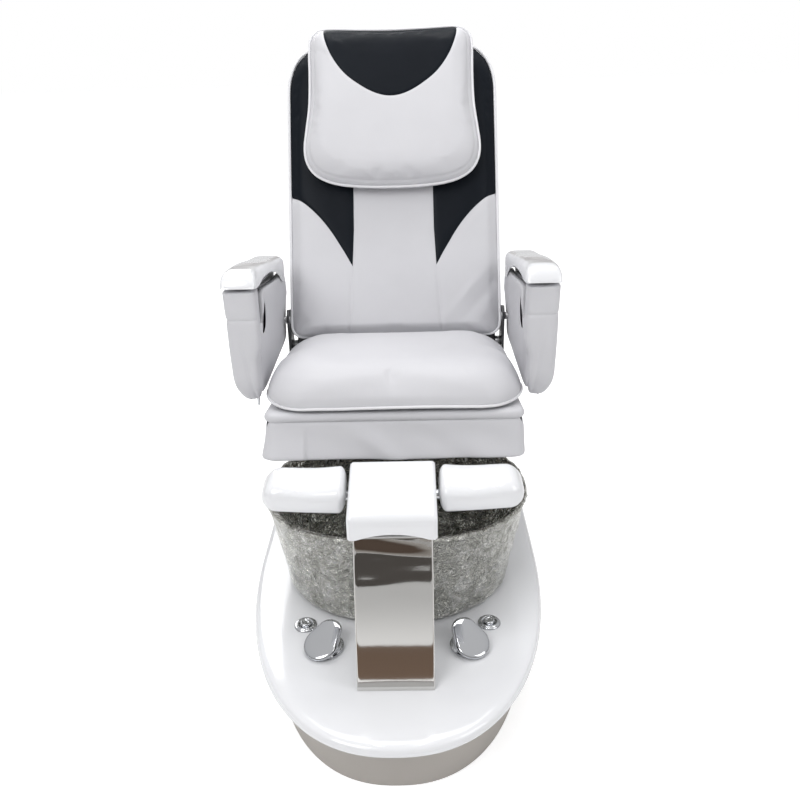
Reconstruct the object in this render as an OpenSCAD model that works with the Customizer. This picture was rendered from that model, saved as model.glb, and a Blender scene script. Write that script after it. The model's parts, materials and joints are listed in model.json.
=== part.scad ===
// Pedicure spa chair: a glass-look foot bowl on a moulded base, a sliding seat, a reclining massage
// back, two lift-up arms, a head pillow and a height-adjustable footrest with two tilting wings.
// Axes: +X is the viewer's right when facing the chair, the chair faces -Y, +Z is up.
// Inside the modules Y runs back from the front edge of the base; in_place() then centres the chair.

/* [Base] */
// Half of the width of the base deck at its widest
deck_half_w = 342; // [325:1:360]
// Length of the base deck from front to rear
base_len = 1180; // [1165:5:1240]
// Length of the tapering front part of the deck outline
deck_run = 640; // [600:5:680]
// Height of the deck's top face above the floor
deck_z = 178; // [165:1:200]
// Thickness of the deck rim
deck_t = 24; // [20:1:30]
// How far the plinth stands back from the deck's front edge
plinth_front_recess = 73; // [50:1:90]
// How far the plinth stands back from the deck's sides and rear
plinth_side_recess = 42; // [30:1:50]
// Wall of the plinth and of the pedestal moulding
shell_wall = 6; // [4:0.5:8]
// Squareness of the front outline, where 2 is an ellipse
plan_power = 2.3; // [2:0.1:2.6]

/* [Pedestal] */
// Half of the width of the pedestal under the seat
ped_half_w = 250; // [230:1:260]
// Front face of the pedestal
ped_front_y = 866; // [862:1:880]
// Rear face of the pedestal
ped_rear_y = 1150; // [1130:1:1155]
// Height of the pedestal's top edge above the floor
ped_top_z = 445; // [425:1:450]

/* [Bowl] */
// Middle of the bowl, from the front edge of the base
bowl_y = 606; // [600:1:608]
// Half of the bowl's width at the rim
bowl_half_w = 312; // [295:1:320]
// Half of the bowl's depth at the rim
bowl_half_d = 230; // [220:1:234]
// Height of the bowl above the deck
bowl_h = 210; // [180:1:225]
// Wall of the bowl
bowl_wall = 15; // [12:1:20]
// Radius of the waste outlet in the bowl's floor
waste_r = 20; // [16:1:24]

/* [Footrest] */
// Front of the plate's foot on the deck
plate_foot_y = 145; // [135:1:155]
// Lean of the plate and column from the vertical
plate_lean = 17; // [14:0.5:19]
// Half of the width of the stainless plate
plate_half_w = 78; // [60:1:84]
// Length of the stainless plate along its slope
plate_len = 318; // [300:1:320]
// Half of the width of the saddle
saddle_half_w = 87; // [85:1:95]
// Length of each wing pad, outwards from the saddle
wing_len = 176; // [150:1:190]
// Radius of the cross tube that carries the wings
cross_r = 10; // [8:0.5:12]

/* [Controls] */
// Distance of each lever handle from the middle
handle_x = 152; // [140:1:160]
// Position of the lever handles from the front edge
handle_y = 274; // [265:1:285]
// Distance of each push button from the middle
button_x = 203; // [196:1:210]
// Position of the push buttons from the front edge
button_y = 346; // [340:1:352]

/* [Seat] */
// Half of the width of the seat cushion
seat_half_w = 301; // [280:1:304]
// Front edge of the seat cushion
seat_front_y = 548; // [540:1:560]
// Height of the seat cushion's underside at its front edge
seat_front_z = 600; // [598:1:615]
// Depth of the seat cushion along its slope
seat_depth = 428; // [380:1:430]
// Thickness of the seat cushion
seat_t = 96; // [80:1:110]
// Backward slope of the seat
seat_tilt = 9; // [7:0.5:9]
// Depth of the hanging apron below the cushion
apron_h = 112; // [90:1:116]

/* [Back] */
// Recline hinge, distance from the front edge of the base
hinge_y = 1040; // [1038:1:1055]
// Recline hinge, height above the floor
hinge_z = 590; // [588:1:605]
// Lean of the back from the vertical
back_lean = 26; // [22:0.5:30]
// Half of the width of the back cushion
back_half_w = 286; // [270:1:287]
// Height of the back cushion along its slope
back_h = 815; // [780:1:860]
// Thickness of the back cushion
back_t = 58; // [45:1:65]
// Depth of the rear shell behind the hinge line
shell_back = 105; // [100:1:115]

/* [Pillow] */
// Half of the width of the head pillow
pillow_half_w = 240; // [200:1:250]
// Height of the head pillow
pillow_h = 436; // [350:1:440]
// Thickness of the head pillow
pillow_t = 78; // [60:1:90]

/* [Arms] */
// Inner side of each arm, from the middle
arm_in_x = 306; // [306:1:312]
// Width of each arm
arm_w = 62; // [56:1:70]
// Front face of the arms
arm_front_y = 614; // [605:1:625]
// Height of the arm cap's underside at the front
cap_z = 872; // [860:1:890]
// Arm pivot, distance from the front edge of the base
arm_pivot_y = 1020; // [1015:1:1025]
// Arm pivot, height above the floor
arm_pivot_z = 668; // [660:1:675]

/* [Hidden] */

// Running gap between a pin or shaft and its hole, on the radius
fit_gap = 0.05;
// Gap left between parts that must not touch
clear_gap = 0.4;
// Slack round a fixed fitting in its hole, on the radius
seat_gap = 0.15;

// Rear of the top of the shell, which is the rearmost point of the chair
rear_y = hinge_y + shell_back * cos(back_lean) + back_h * sin(back_lean);
mid_y = rear_y / 2;
deck_round = 8;
deck_under_z = deck_z - deck_t;
rim_z = deck_z + bowl_h;
plinth_rear_y = base_len - plinth_side_recess;

// Colours
gelcoat = [0.93, 0.93, 0.95];
plinth_grey = [0.70, 0.68, 0.66];
steel_grey = [0.30, 0.31, 0.33];
chrome_grey = [0.80, 0.81, 0.83];
glass_grey = [0.66, 0.68, 0.66];
leather_white = [0.82, 0.82, 0.85];
dark_plastic = [0.12, 0.12, 0.13];

// Moves a part from front-edge coordinates to the chair's centred frame
module in_place() {
    translate([0, -mid_y, 0]) children();
}

// Extrudes a side profile, drawn as Y and Z, across X from x0 to x1
module across(x0, x1) {
    translate([x0, 0, 0]) rotate([90, 0, 90]) linear_extrude(x1 - x0) children();
}

// Round bar along X from x0 to x1
module bar_x(r, x0, x1, y, z) {
    translate([x0, y, z]) rotate([0, 90, 0]) cylinder(r = r, h = x1 - x0, $fn = 48);
}

// Round bar along Y from y0 to y1
module bar_y(r, y0, y1, x, z) {
    translate([x, y0, z]) rotate([-90, 0, 0]) cylinder(r = r, h = y1 - y0, $fn = 48);
}

// Box between two opposite corners
module block(low, high) {
    translate(low) cube(high - low);
}

// Points of a rectangle with round corners, between two opposite corners
function round_box(low, high, r) = concat(
    [for (t = [180 : 15 : 270]) [low[0] + r + r * cos(t), low[1] + r + r * sin(t)]],
    [for (t = [270 : 15 : 360]) [high[0] - r + r * cos(t), low[1] + r + r * sin(t)]],
    [for (t = [0 : 15 : 90]) [high[0] - r + r * cos(t), high[1] - r + r * sin(t)]],
    [for (t = [90 : 15 : 180]) [low[0] + r + r * cos(t), high[1] - r + r * sin(t)]]
);

// Power of a cosine or sine that keeps its sign, for a superellipse
function signed_pow(c) = sign(c) * pow(abs(c), 2 / plan_power);

// Outline of the base, inset from the deck's own edge
function base_plan(front_in, side_in, corner) = concat(
    [for (t = [180 : 6 : 360]) [
        (deck_half_w - side_in) * signed_pow(cos(t)),
        deck_run + (deck_run - front_in) * signed_pow(sin(t))
    ]],
    [for (t = [0 : 15 : 90]) [
        deck_half_w - side_in - corner * (1 - cos(t)),
        base_len - side_in - corner * (1 - sin(t))
    ]],
    [for (t = [90 : 15 : 180]) [
        -deck_half_w + side_in + corner * (1 + cos(t)),
        base_len - side_in - corner * (1 - sin(t))
    ]]
);

// Rounded oval of the bowl, around its own middle
function bowl_plan(a, b) = [for (t = [0 : 7.5 : 352.5]) [a * signed_pow(cos(t)), b * signed_pow(sin(t))]];

// One tapered storey of the bowl, from half sizes p at z0 to half sizes q at z1
module bowl_storey(z0, p, z1, q) {
    translate([0, bowl_y, z0])
        linear_extrude(z1 - z0, scale = [q[0] / p[0], q[1] / p[1]], slices = 1, segments = 48)
                polygon(bowl_plan(p[0], p[1]));
}

// Rectangle from -w to w and y0 to y1 with its corners rounded by r
module rounded_plan(w, y0, y1, r) {
    polygon(concat(
        [for (t = [0 : 15 : 90]) [w - r * (1 - cos(t)), y1 - r * (1 - sin(t))]],
        [for (t = [90 : 15 : 180]) [-w + r * (1 + cos(t)), y1 - r * (1 - sin(t))]],
        [for (t = [180 : 15 : 270]) [-w + r * (1 + cos(t)), y0 + r * (1 + sin(t))]],
        [for (t = [270 : 15 : 360]) [w - r * (1 - cos(t)), y0 + r * (1 + sin(t))]]
    ));
}

// ---- Base ----

sill_x = 200;
sill_w = 30;
sill_z = 12;
sill_h = 30;
sill_front_y = 350;
sill_rear_y = 1100;
post_r = 14;
stem_r = 11;
button_r = 12;
sleeve_r = 16;
hose_r = 9;
hose_z = 110;
drain_r = 14;
drain_z = 82;
stub_out = 32;
waste_slack = 8;
jet_r = 22;
jet_z = deck_z + 118;

module base_deck() {
    color(gelcoat) in_place() difference() {
        union() {
            translate([0, 0, deck_under_z])
                linear_extrude(deck_t - deck_round) polygon(base_plan(0, 0, 90));
            for (k = [0 : 3]) {
                inset = deck_round * (1 - sqrt(1 - pow((k + 0.5) / 4, 2)));
                translate([0, 0, deck_z - deck_round * (1 - k / 4)])
                    linear_extrude(deck_round / 4) polygon(base_plan(inset, inset, 90 - inset));
            }
        }
        translate([0, bowl_y, deck_under_z - 1]) cylinder(r = waste_r + waste_slack, h = deck_t + 2, $fn = 64);
        for (s = [-1, 1]) {
            translate([s * handle_x, handle_y, deck_under_z - 1])
                cylinder(r = stem_r + fit_gap, h = deck_t + 2, $fn = 48);
            translate([s * button_x, button_y, deck_under_z - 1])
                cylinder(r = sleeve_r, h = deck_t + 2, $fn = 48);
        }
    }
}

module plinth_skirt() {
    color(plinth_grey) in_place() difference() {
        linear_extrude(deck_under_z) polygon(base_plan(plinth_front_recess, plinth_side_recess, 60));
        translate([0, 0, -1]) linear_extrude(deck_under_z + 2)
            polygon(base_plan(plinth_front_recess + shell_wall, plinth_side_recess + shell_wall, 54));
        for (s = [-1, 1]) bar_y(hose_r + seat_gap, plinth_rear_y - 20, plinth_rear_y + 10, s * handle_x, hose_z);
        bar_y(drain_r + seat_gap, plinth_rear_y - 20, plinth_rear_y + 10, 0, drain_z);
    }
}

module sill(s) {
    color(steel_grey) in_place()
        block([s * sill_x - sill_w / 2, sill_front_y - 20, sill_z],
              [s * sill_x + sill_w / 2, sill_rear_y + 10, sill_z + sill_h]);
}

module sill_cross(y) {
    color(steel_grey) in_place()
        block([-sill_x + sill_w / 2, y - 15, sill_z], [sill_x - sill_w / 2, y + 15, sill_z + sill_h]);
}

module levelling_feet() {
    color(dark_plastic) in_place() for (s = [-1, 1], y = [sill_front_y, sill_rear_y - 20]) {
        translate([s * sill_x, y, 0]) cylinder(r = 22, h = 7, $fn = 48);
        translate([s * sill_x, y, 7]) cylinder(r = 7, h = sill_z - 7, $fn = 32);
    }
}

module deck_posts() {
    color(steel_grey) in_place() for (s = [-1, 1], y = [sill_front_y + 110, sill_rear_y - 20])
        translate([s * sill_x, y, sill_z + sill_h])
            cylinder(r = post_r, h = deck_under_z - sill_z - sill_h, $fn = 32);
}

module pedestal_moulding() {
    color(gelcoat) in_place() difference() {
        translate([0, 0, deck_z]) linear_extrude(ped_top_z - deck_z)
            rounded_plan(ped_half_w, ped_front_y, ped_rear_y + 60, 50);
        translate([0, 0, deck_z - 1]) linear_extrude(ped_top_z - deck_z + 2)
            rounded_plan(ped_half_w - shell_wall, ped_front_y + shell_wall, ped_rear_y + 70, 44);
        block([-ped_half_w - 1, ped_rear_y - shell_wall, deck_z - 1], [ped_half_w + 1, ped_rear_y + 90, ped_top_z + 1]);
    }
}

module access_panel() {
    vent_w = 120;
    color(gelcoat) in_place() difference() {
        block([-ped_half_w, ped_rear_y - shell_wall, deck_z], [ped_half_w, ped_rear_y, ped_top_z]);
        for (k = [0 : 5])
            block([-vent_w / 2, ped_rear_y - shell_wall - 1, deck_z + 70 + k * 20],
                  [vent_w / 2, ped_rear_y + 1, deck_z + 76 + k * 20]);
    }
}

plate_t = 6;
rail_x = 150;
rail_w = 24;
rail_h = 15;
rail_z = ped_top_z + plate_t;
channel_t = 4;
channel_top_z = rail_z + rail_h + clear_gap + channel_t;

module pedestal_plate() {
    color(steel_grey) in_place() translate([0, 0, ped_top_z])
        linear_extrude(plate_t) rounded_plan(ped_half_w - 4, ped_front_y + 2, ped_rear_y - 2, 46);
}

// ---- Bowl and water ----

bowl_foot = 27;
foot_half_w = bowl_half_w - 40;
foot_half_d = bowl_half_d + 20;

module bowl() {
    waist_z = deck_z + 58;
    lip_z = rim_z - 16;
    floor_z = deck_z + bowl_foot;
    w = bowl_wall;
    color(glass_grey) in_place() difference() {
        union() {
            bowl_storey(deck_z, [foot_half_w - 10, foot_half_d - 10], deck_z + 14, [foot_half_w, foot_half_d]);
            bowl_storey(deck_z + 14, [foot_half_w, foot_half_d], waist_z, [foot_half_w + 5, foot_half_d - 12]);
            bowl_storey(waist_z, [foot_half_w + 5, foot_half_d - 12], lip_z, [bowl_half_w - 7, bowl_half_d - 4]);
            bowl_storey(lip_z, [bowl_half_w - 2, bowl_half_d], rim_z, [bowl_half_w, bowl_half_d]);
        }
        bowl_storey(floor_z, [foot_half_w - w - 22, foot_half_d - w - 34],
                    waist_z + 6, [foot_half_w - w + 2, foot_half_d - w - 16]);
        bowl_storey(waist_z + 6, [foot_half_w - w + 2, foot_half_d - w - 16],
                    rim_z + 1, [bowl_half_w - w - 2, bowl_half_d - w - 2]);
        translate([0, bowl_y, deck_z - 1]) cylinder(r = waste_r + seat_gap, h = bowl_foot + 2, $fn = 64);
        bar_y(jet_r + seat_gap, bowl_y + 150, bowl_y + 280, 0, jet_z);
    }
}

module waste_strainer() {
    floor_z = deck_z + bowl_foot;
    color(chrome_grey) in_place() translate([0, bowl_y, 0]) difference() {
        union() {
            translate([0, 0, floor_z]) cylinder(r = waste_r + 12, h = 4, $fn = 64);
            translate([0, 0, pump_top_z]) cylinder(r = waste_r, h = floor_z - pump_top_z, $fn = 64);
        }
        translate([0, 0, pump_top_z - 1]) cylinder(r = waste_r - 3, h = floor_z - pump_top_z, $fn = 64);
        for (a = [0 : 45 : 315]) rotate([0, 0, a]) translate([10, 0, floor_z - 6])
            cylinder(r = 3, h = 12, $fn = 24);
    }
}

module jet_fitting() {
    inner_y = bowl_y + bowl_half_d - bowl_wall - 16;
    color(chrome_grey) in_place() difference() {
        union() {
            bar_y(jet_r, inner_y - 1, ped_front_y - 8, 0, jet_z);
            bar_y(jet_r + 11, inner_y - 7, inner_y - 1, 0, jet_z);
        }
        bar_y(jet_r - 8, inner_y - 10, inner_y + 30, 0, jet_z);
    }
}

pump_z = sill_z + sill_h;
pump_top_z = 118;

module drain_pump() {
    color(dark_plastic) in_place() {
        block([-sill_x + sill_w / 2, bowl_y - 50, pump_z - 4], [sill_x - sill_w / 2, bowl_y + 50, pump_z]);
        translate([0, bowl_y, pump_z]) cylinder(r = 44, h = pump_top_z - pump_z, $fn = 64);
        bar_x(30, 40, handle_x - hose_r - 4, bowl_y, pump_z + 34);
        bar_y(drain_r + 3, bowl_y + 30, bowl_y + 62, 0, drain_z);
    }
}

stub_in = 20;
stub_flange = 4;

// Supply hoses from the two rear inlets and the drain pipe from the pump
module pipework() {
    color(dark_plastic) in_place() {
        for (s = [-1, 1])
            bar_y(hose_r, handle_y + 28, plinth_rear_y - stub_in, s * handle_x, hose_z);
        bar_y(drain_r, bowl_y + 62, plinth_rear_y - stub_in, 0, drain_z);
    }
}

// Stub that passes the rear wall of the plinth, with its flange outside
module stub(r, x, z) {
    bar_y(r, plinth_rear_y - stub_in, plinth_rear_y + stub_out, x, z);
    bar_y(r + 7, plinth_rear_y, plinth_rear_y + stub_flange, x, z);
}

// Hot inlet, cold inlet and waste outlet at the rear
module rear_stubs() {
    color(chrome_grey) in_place() {
        for (s = [-1, 1]) stub(hose_r, s * handle_x, hose_z);
        stub(drain_r, 0, drain_z);
    }
}

module valve_bodies() {
    color(chrome_grey) in_place() for (s = [-1, 1]) difference() {
        union() {
            translate([s * handle_x, handle_y, hose_z - 16])
                cylinder(r = 24, h = deck_under_z - hose_z + 16, $fn = 48);
            block([s * handle_x - 13, handle_y, hose_z - 13], [s * handle_x + 13, handle_y + 28, hose_z + 13]);
        }
        translate([s * handle_x, handle_y, hose_z + 14]) cylinder(r = stem_r + fit_gap, h = 60, $fn = 48);
    }
}

// ---- Controls ----

escutcheon_r = 37;

// Low round body with a thick slanted paddle that rises towards the given direction
module lever_handle(s, turn) {
    color(chrome_grey) in_place() translate([s * handle_x, handle_y, 0]) {
        translate([0, 0, hose_z + 16]) cylinder(r = stem_r, h = deck_z - hose_z - 16 + 2, $fn = 48);
        translate([0, 0, deck_z + clear_gap]) cylinder(r = escutcheon_r, h = 7, $fn = 64);
        translate([0, 0, deck_z + clear_gap + 7]) cylinder(r = escutcheon_r - 4, h = 6, $fn = 64);
        rotate([0, 0, turn]) hull() {
            translate([0, -8, deck_z + 14]) rotate([26, 0, 0]) cylinder(r = 30, h = 9, $fn = 32);
            translate([0, 14, deck_z + 30]) rotate([26, 0, 0]) cylinder(r = 22, h = 11, $fn = 32);
        }
    }
}

module button_rings() {
    color(chrome_grey) in_place() for (s = [-1, 1]) translate([s * button_x, button_y, 0]) difference() {
        union() {
            translate([0, 0, deck_z]) cylinder(r = 25, h = 5, $fn = 64);
            translate([0, 0, deck_under_z - 20]) cylinder(r = sleeve_r, h = deck_t + 20, $fn = 48);
        }
        translate([0, 0, deck_under_z - 16]) cylinder(r = button_r + fit_gap, h = 60, $fn = 48);
    }
}

module push_button(s) {
    color(chrome_grey) in_place() translate([s * button_x, button_y, 0]) {
        translate([0, 0, deck_under_z - 8]) cylinder(r = button_r, h = deck_t + 8 + 9, $fn = 48);
        translate([0, 0, deck_z + 9]) cylinder(r1 = button_r, r2 = button_r - 3, h = 2, $fn = 48);
    }
}

// ---- Footrest ----

// Frame of the leaning plate and column, its Z along the slope and its origin at the plate's foot
module on_column() {
    translate([0, plate_foot_y, deck_z]) rotate([-plate_lean, 0, 0]) children();
}

column_out = [46, 28];
column_wall = 2;
column_near = 7;
column_mid = column_near + column_out[1] / 2;
column_len = 288;
head_z0 = 500;
tube_y = 325;
tube_z = 521;
wing_gap = 5;

module front_plate() {
    sheet = 2;
    color(chrome_grey) in_place() difference() {
        on_column() difference() {
            block([-plate_half_w, 0, -20], [plate_half_w, 24, plate_len]);
            block([-plate_half_w + sheet, sheet, -30], [plate_half_w - sheet, 30, plate_len + 10]);
        }
        block([-200, 0, deck_z - 60], [200, 400, deck_z]);
    }
}

module column_outer() {
    w = column_out[0] / 2;
    color(steel_grey) in_place() difference() {
        on_column() difference() {
            block([-w, column_near, -30], [w, column_near + column_out[1], column_len]);
            block([-w + column_wall, column_near + column_wall, 40],
                  [w - column_wall, column_near + column_out[1] - column_wall, column_len + 10]);
        }
        block([-200, 0, deck_z - 60], [200, 400, deck_z]);
    }
}

// Height of the saddle's underside above a point
function saddle_under(y) = saddle_fold_z - saddle_t + 4
    + (y - saddle_front_y - 26) * (saddle_back_z - saddle_fold_z - 4) / (saddle_back_y - saddle_front_y - 26);

module column_inner() {
    w = column_out[0] / 2 - column_wall - clear_gap;
    near = column_near + column_wall + clear_gap;
    far = column_near + column_out[1] - column_wall - clear_gap;
    color(steel_grey) in_place() difference() {
        union() {
            difference() {
                on_column() block([-w, near, 150], [w, far, 420]);
                block([-100, 0, head_z0 + 20], [100, 500, 700]);
            }
            across(-30, 30) polygon([
                [250, head_z0], [tube_y + 18, head_z0],
                [tube_y + 18, saddle_under(tube_y + 18) - fit_gap], [250, saddle_under(250) - fit_gap]
            ]);
        }
        bar_x(cross_r, -40, 40, tube_y, tube_z);
    }
}

module cross_tube() {
    reach = saddle_half_w + wing_gap + wing_len - 25;
    color(chrome_grey) in_place() bar_x(cross_r, -reach, reach, tube_y, tube_z);
}

saddle_front_y = 214;
saddle_low_z = 486;
saddle_fold_z = 535;
saddle_back_y = 378;
saddle_back_z = 573;
saddle_t = 14;

module saddle() {
    color(gelcoat) in_place() difference() {
        across(-saddle_half_w, saddle_half_w) polygon([
            [saddle_front_y, saddle_low_z],
            [saddle_front_y, saddle_fold_z - 12],
            [saddle_front_y + 4, saddle_fold_z - 3],
            [saddle_front_y + 14, saddle_fold_z + 2],
            [saddle_back_y - 8, saddle_back_z],
            [saddle_back_y, saddle_back_z - 5],
            [saddle_back_y, saddle_back_z - saddle_t],
            [saddle_front_y + 26, saddle_fold_z - saddle_t + 4],
            [saddle_front_y + 15, saddle_fold_z - saddle_t - 8],
            [saddle_front_y + 13, saddle_low_z]
        ]);
        translate([0, saddle_front_y - 10, saddle_low_z - 198]) rotate([-90, 0, 0])
            cylinder(r = 210, h = 40, $fn = 180);
    }
}

// Rounded pad that tapers a little towards its outer end, on the cross tube
module wing(s) {
    x0 = saddle_half_w + wing_gap;
    x1 = x0 + wing_len;
    y0 = tube_y - 48;
    y1 = tube_y + 50;
    color(gelcoat) in_place() difference() {
        hull() {
            for (e = [[x0 + 14, 0, 0], [x1 - 58, 2, -4], [x1 - 22, 10, -8]]) {
                translate([s * e[0], y0 + 20 + e[1], tube_z + e[2] * 0.3]) sphere(r = 14 + e[1] * 0.3, $fn = 24);
                translate([s * e[0], y0 + 22 + e[1], tube_z + 16 + e[2]]) sphere(r = 14, $fn = 24);
                translate([s * e[0], y1 - 20 - e[1], tube_z + 4]) sphere(r = 14 + e[1] * 0.3, $fn = 24);
                translate([s * e[0], y1 - 20 - e[1], tube_z + 36 + e[2]]) sphere(r = 14, $fn = 24);
            }
        }
        bar_x(cross_r + fit_gap, s > 0 ? x0 - 5 : -x1 + 23, s > 0 ? x1 - 23 : -x0 + 5, tube_y, tube_z);
    }
}

// ---- Seat ----

// Frame of the sloping seat, its origin at the front lower edge of the cushion
module on_seat() {
    translate([0, seat_front_y, seat_front_z]) rotate([-seat_tilt, 0, 0]) children();
}

tube = 30;
pan_t = 14;
pan_gap = 2;
frame_top = -pan_gap - pan_t;
frame_low = frame_top - tube;
side_tube_x = 259;
bracket_x = side_tube_x + tube;
bracket_t = 6;
channel_front_y = 590;
channel_rear_y = 1110;
cross_front = 60;
cross_rear = 232;
apron_wall = 6;

module slide_rails() {
    color(chrome_grey) in_place() for (s = [-1, 1])
        block([s * rail_x - rail_w / 2, ped_front_y + 10, rail_z], [s * rail_x + rail_w / 2, ped_rear_y - 10, rail_z + rail_h]);
}

// Inverted channel over a rail with a wedge plate that carries the sloping frame
module channel(s) {
    half = rail_w / 2 + clear_gap;
    drop = tan(seat_tilt);
    function under(y) = seat_front_z + frame_low / cos(seat_tilt) - (y - seat_front_y) * drop;
    wedge_y0 = seat_front_y + cross_front - 15;
    wedge_y1 = seat_front_y + cross_rear + 30;
    color(steel_grey) in_place() {
        difference() {
            block([s * rail_x - half - channel_t, channel_front_y, rail_z + clear_gap],
                  [s * rail_x + half + channel_t, channel_rear_y, channel_top_z]);
            block([s * rail_x - half, channel_front_y - 1, rail_z - 1],
                  [s * rail_x + half, channel_rear_y + 1, channel_top_z - channel_t]);
        }
        across(s * rail_x - 4, s * rail_x + 4) polygon([
            [wedge_y0, channel_top_z], [wedge_y1, channel_top_z],
            [wedge_y1, under(wedge_y1)], [wedge_y0, under(wedge_y0)]
        ]);
    }
}

// One half of the seat frame: a side tube with two cross tubes up to the middle
module seat_frame(s) {
    color(steel_grey) in_place() on_seat() {
        x0 = s > 0 ? side_tube_x : -bracket_x;
        block([x0, 20, frame_low], [x0 + tube, 500, frame_top]);
        for (y = [cross_front, cross_rear])
            block([s > 0 ? 0 : -side_tube_x, y - 15, frame_low], [s > 0 ? side_tube_x : 0, y + 15, frame_top]);
    }
}

module seat_pan() {
    color([0.72, 0.60, 0.44]) in_place() on_seat() translate([0, 0, frame_top])
        linear_extrude(pan_t) rounded_plan(seat_half_w - apron_wall, apron_wall + 6, 410, 20);
}

module seat_cushion() {
    color(leather_white) in_place() on_seat() hull() {
        for (s = [-1, 1]) {
            for (y = [75, seat_depth - 40])
                translate([s * (seat_half_w - 40), y, 40]) sphere(r = 40, $fn = 24);
            translate([s * (seat_half_w - 70), seat_depth - 36, seat_t - 30]) sphere(r = 30, $fn = 24);
            translate([s * (seat_half_w - 78), 60, seat_t - 40]) sphere(r = 40, $fn = 24);
            translate([s * (seat_half_w - 82), 42, 40]) sphere(r = 40, $fn = 24);
        }
    }
}

// Box valance that hangs round the front and both sides of the seat pan
module seat_apron() {
    color(leather_white) in_place() on_seat() difference() {
        translate([0, 0, -apron_h]) linear_extrude(apron_h - pan_gap) rounded_plan(seat_half_w, 6, 500, 22);
        translate([0, 0, -apron_h - 1]) linear_extrude(apron_h + 2)
            rounded_plan(seat_half_w - apron_wall, 6 + apron_wall, 520, 18);
        block([-seat_half_w - 1, 410, -apron_h - 2], [seat_half_w + 1, 540, 2]);
    }
}

module hinge_bracket(s) {
    x0 = s > 0 ? bracket_x : -bracket_x - bracket_t;
    color(steel_grey) in_place() difference() {
        across(x0, x0 + bracket_t) polygon([
            [985, 505], [1060, 488], [1076, 510], [1072, 610], [1045, 690], [1015, 698], [1000, 684], [1000, 600]
        ]);
        bar_x(pin_r + fit_gap, x0 - 1, x0 + bracket_t + 1, hinge_y, hinge_z);
        bar_x(arm_pin_r + fit_gap, x0 - 1, x0 + bracket_t + 1, arm_pivot_y, arm_pivot_z);
    }
}

pin_r = 8;
arm_pin_r = 10;
pin_reach = 22;
back_tube_x = 250;
back_tube_w = 24;

// Back pivot pins with their spacers, and the arm pivot pins with end washers
module pivot_pins() {
    out = bracket_x + bracket_t;
    color(chrome_grey) in_place() for (s = [-1, 1]) mirror([s < 0 ? 1 : 0, 0, 0]) {
        bar_x(pin_r, back_tube_x + 2, out + 3, hinge_y, hinge_z);
        bar_x(pin_r + 5, back_tube_x + back_tube_w + clear_gap, bracket_x, hinge_y, hinge_z);
        bar_x(arm_pin_r, bracket_x - 1, arm_in_x + pin_reach, arm_pivot_y, arm_pivot_z);
        bar_x(arm_pin_r + 6, arm_in_x + pin_reach - 4, arm_in_x + pin_reach, arm_pivot_y, arm_pivot_z);
    }
}

// ---- Recline actuator ----

lever_len = 95;
recline_limit = 35;
lever_pin_r = 6;
act_z = hinge_z - lever_len;
act_r = 16;
rod_r = 9;
rod_out_y = hinge_y - 82;
rod_travel = lever_len * recline_limit * 3.1416 / 180;
rod_end_gap = 4;
bore_y = 740;
rod_in_y = bore_y + rod_travel + rod_end_gap;

module actuator_body() {
    color(dark_plastic) in_place() difference() {
        union() {
            bar_y(act_r, 680, rod_out_y, 0, act_z);
            block([-24, 640, act_z - 22], [74, 680, act_z + 18]);
            bar_y(19, 680, 790, 50, act_z - 2);
            block([-20, 614, act_z - 12], [20, 640, act_z + 12]);
        }
        bar_y(rod_r + fit_gap, bore_y, rod_out_y + 10, 0, act_z);
    }
}

// Push rod with a slotted fork round the lever's pin
module actuator_rod() {
    fork = lever_pin_r + 4;
    fork_wall = 4;
    lever_room = 6;
    fork_front = hinge_y - fork - lever_room - fork_wall;
    lift = lever_len * (1 - cos(recline_limit));
    color(chrome_grey) in_place() {
        bar_y(rod_r, rod_in_y, fork_front, 0, act_z);
        difference() {
            block([-20, fork_front, act_z - 14], [20, hinge_y + fork + 6, act_z + lever_pin_r + lift + 5]);
            block([-7, fork_front + fork_wall, act_z - 20], [7, hinge_y + fork + 20, act_z + 60]);
            block([-30, hinge_y - fork, act_z - 8], [30, hinge_y + fork, act_z + lever_pin_r + lift + 2]);
        }
    }
}

// ---- Back ----

// Frame of the leaning back, its Z along the slope and its origin on the recline hinge
module on_back() {
    translate([0, hinge_y, hinge_z]) rotate([-back_lean, 0, 0]) children();
}

cushion_front = -45;
crown = 25;
crown_in = 45;
cushion_low = 12;
shell_t = 5;
shell_z0 = 25;
frame_depth = 12;
frame_top_z = back_h - 115;

// Outline of the back cushion or its shell in X and Z, with large upper corners
module back_plan(w, z0, z1, low_r, top_r) {
    polygon(concat(
        [for (t = [0 : 15 : 90]) [w - top_r * (1 - cos(t)), z1 - top_r * (1 - sin(t))]],
        [for (t = [90 : 15 : 180]) [-w + top_r * (1 + cos(t)), z1 - top_r * (1 - sin(t))]],
        [for (t = [180 : 15 : 270]) [-w + low_r * (1 + cos(t)), z0 + low_r * (1 + sin(t))]],
        [for (t = [270 : 15 : 360]) [w - low_r * (1 - cos(t)), z0 + low_r * (1 + sin(t))]]
    ));
}

// Extrudes an X-Z outline from y0 to y1 in the back's frame
module through_back(y0, y1) {
    translate([0, y1, 0]) rotate([90, 0, 0]) linear_extrude(y1 - y0) children();
}

module back_frame(s) {
    x0 = s > 0 ? back_tube_x : -back_tube_x - back_tube_w;
    color(steel_grey) in_place() on_back() difference() {
        union() {
            block([x0, -frame_depth, -16], [x0 + back_tube_w, frame_depth, frame_top_z]);
            block([s > 0 ? 0 : -back_tube_x, -frame_depth, frame_top_z - 24],
                  [s > 0 ? back_tube_x : 0, frame_depth, frame_top_z]);
        }
        bar_x(pin_r + fit_gap, x0 - 1, x0 + back_tube_w + 1, 0, 0);
    }
}

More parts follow.
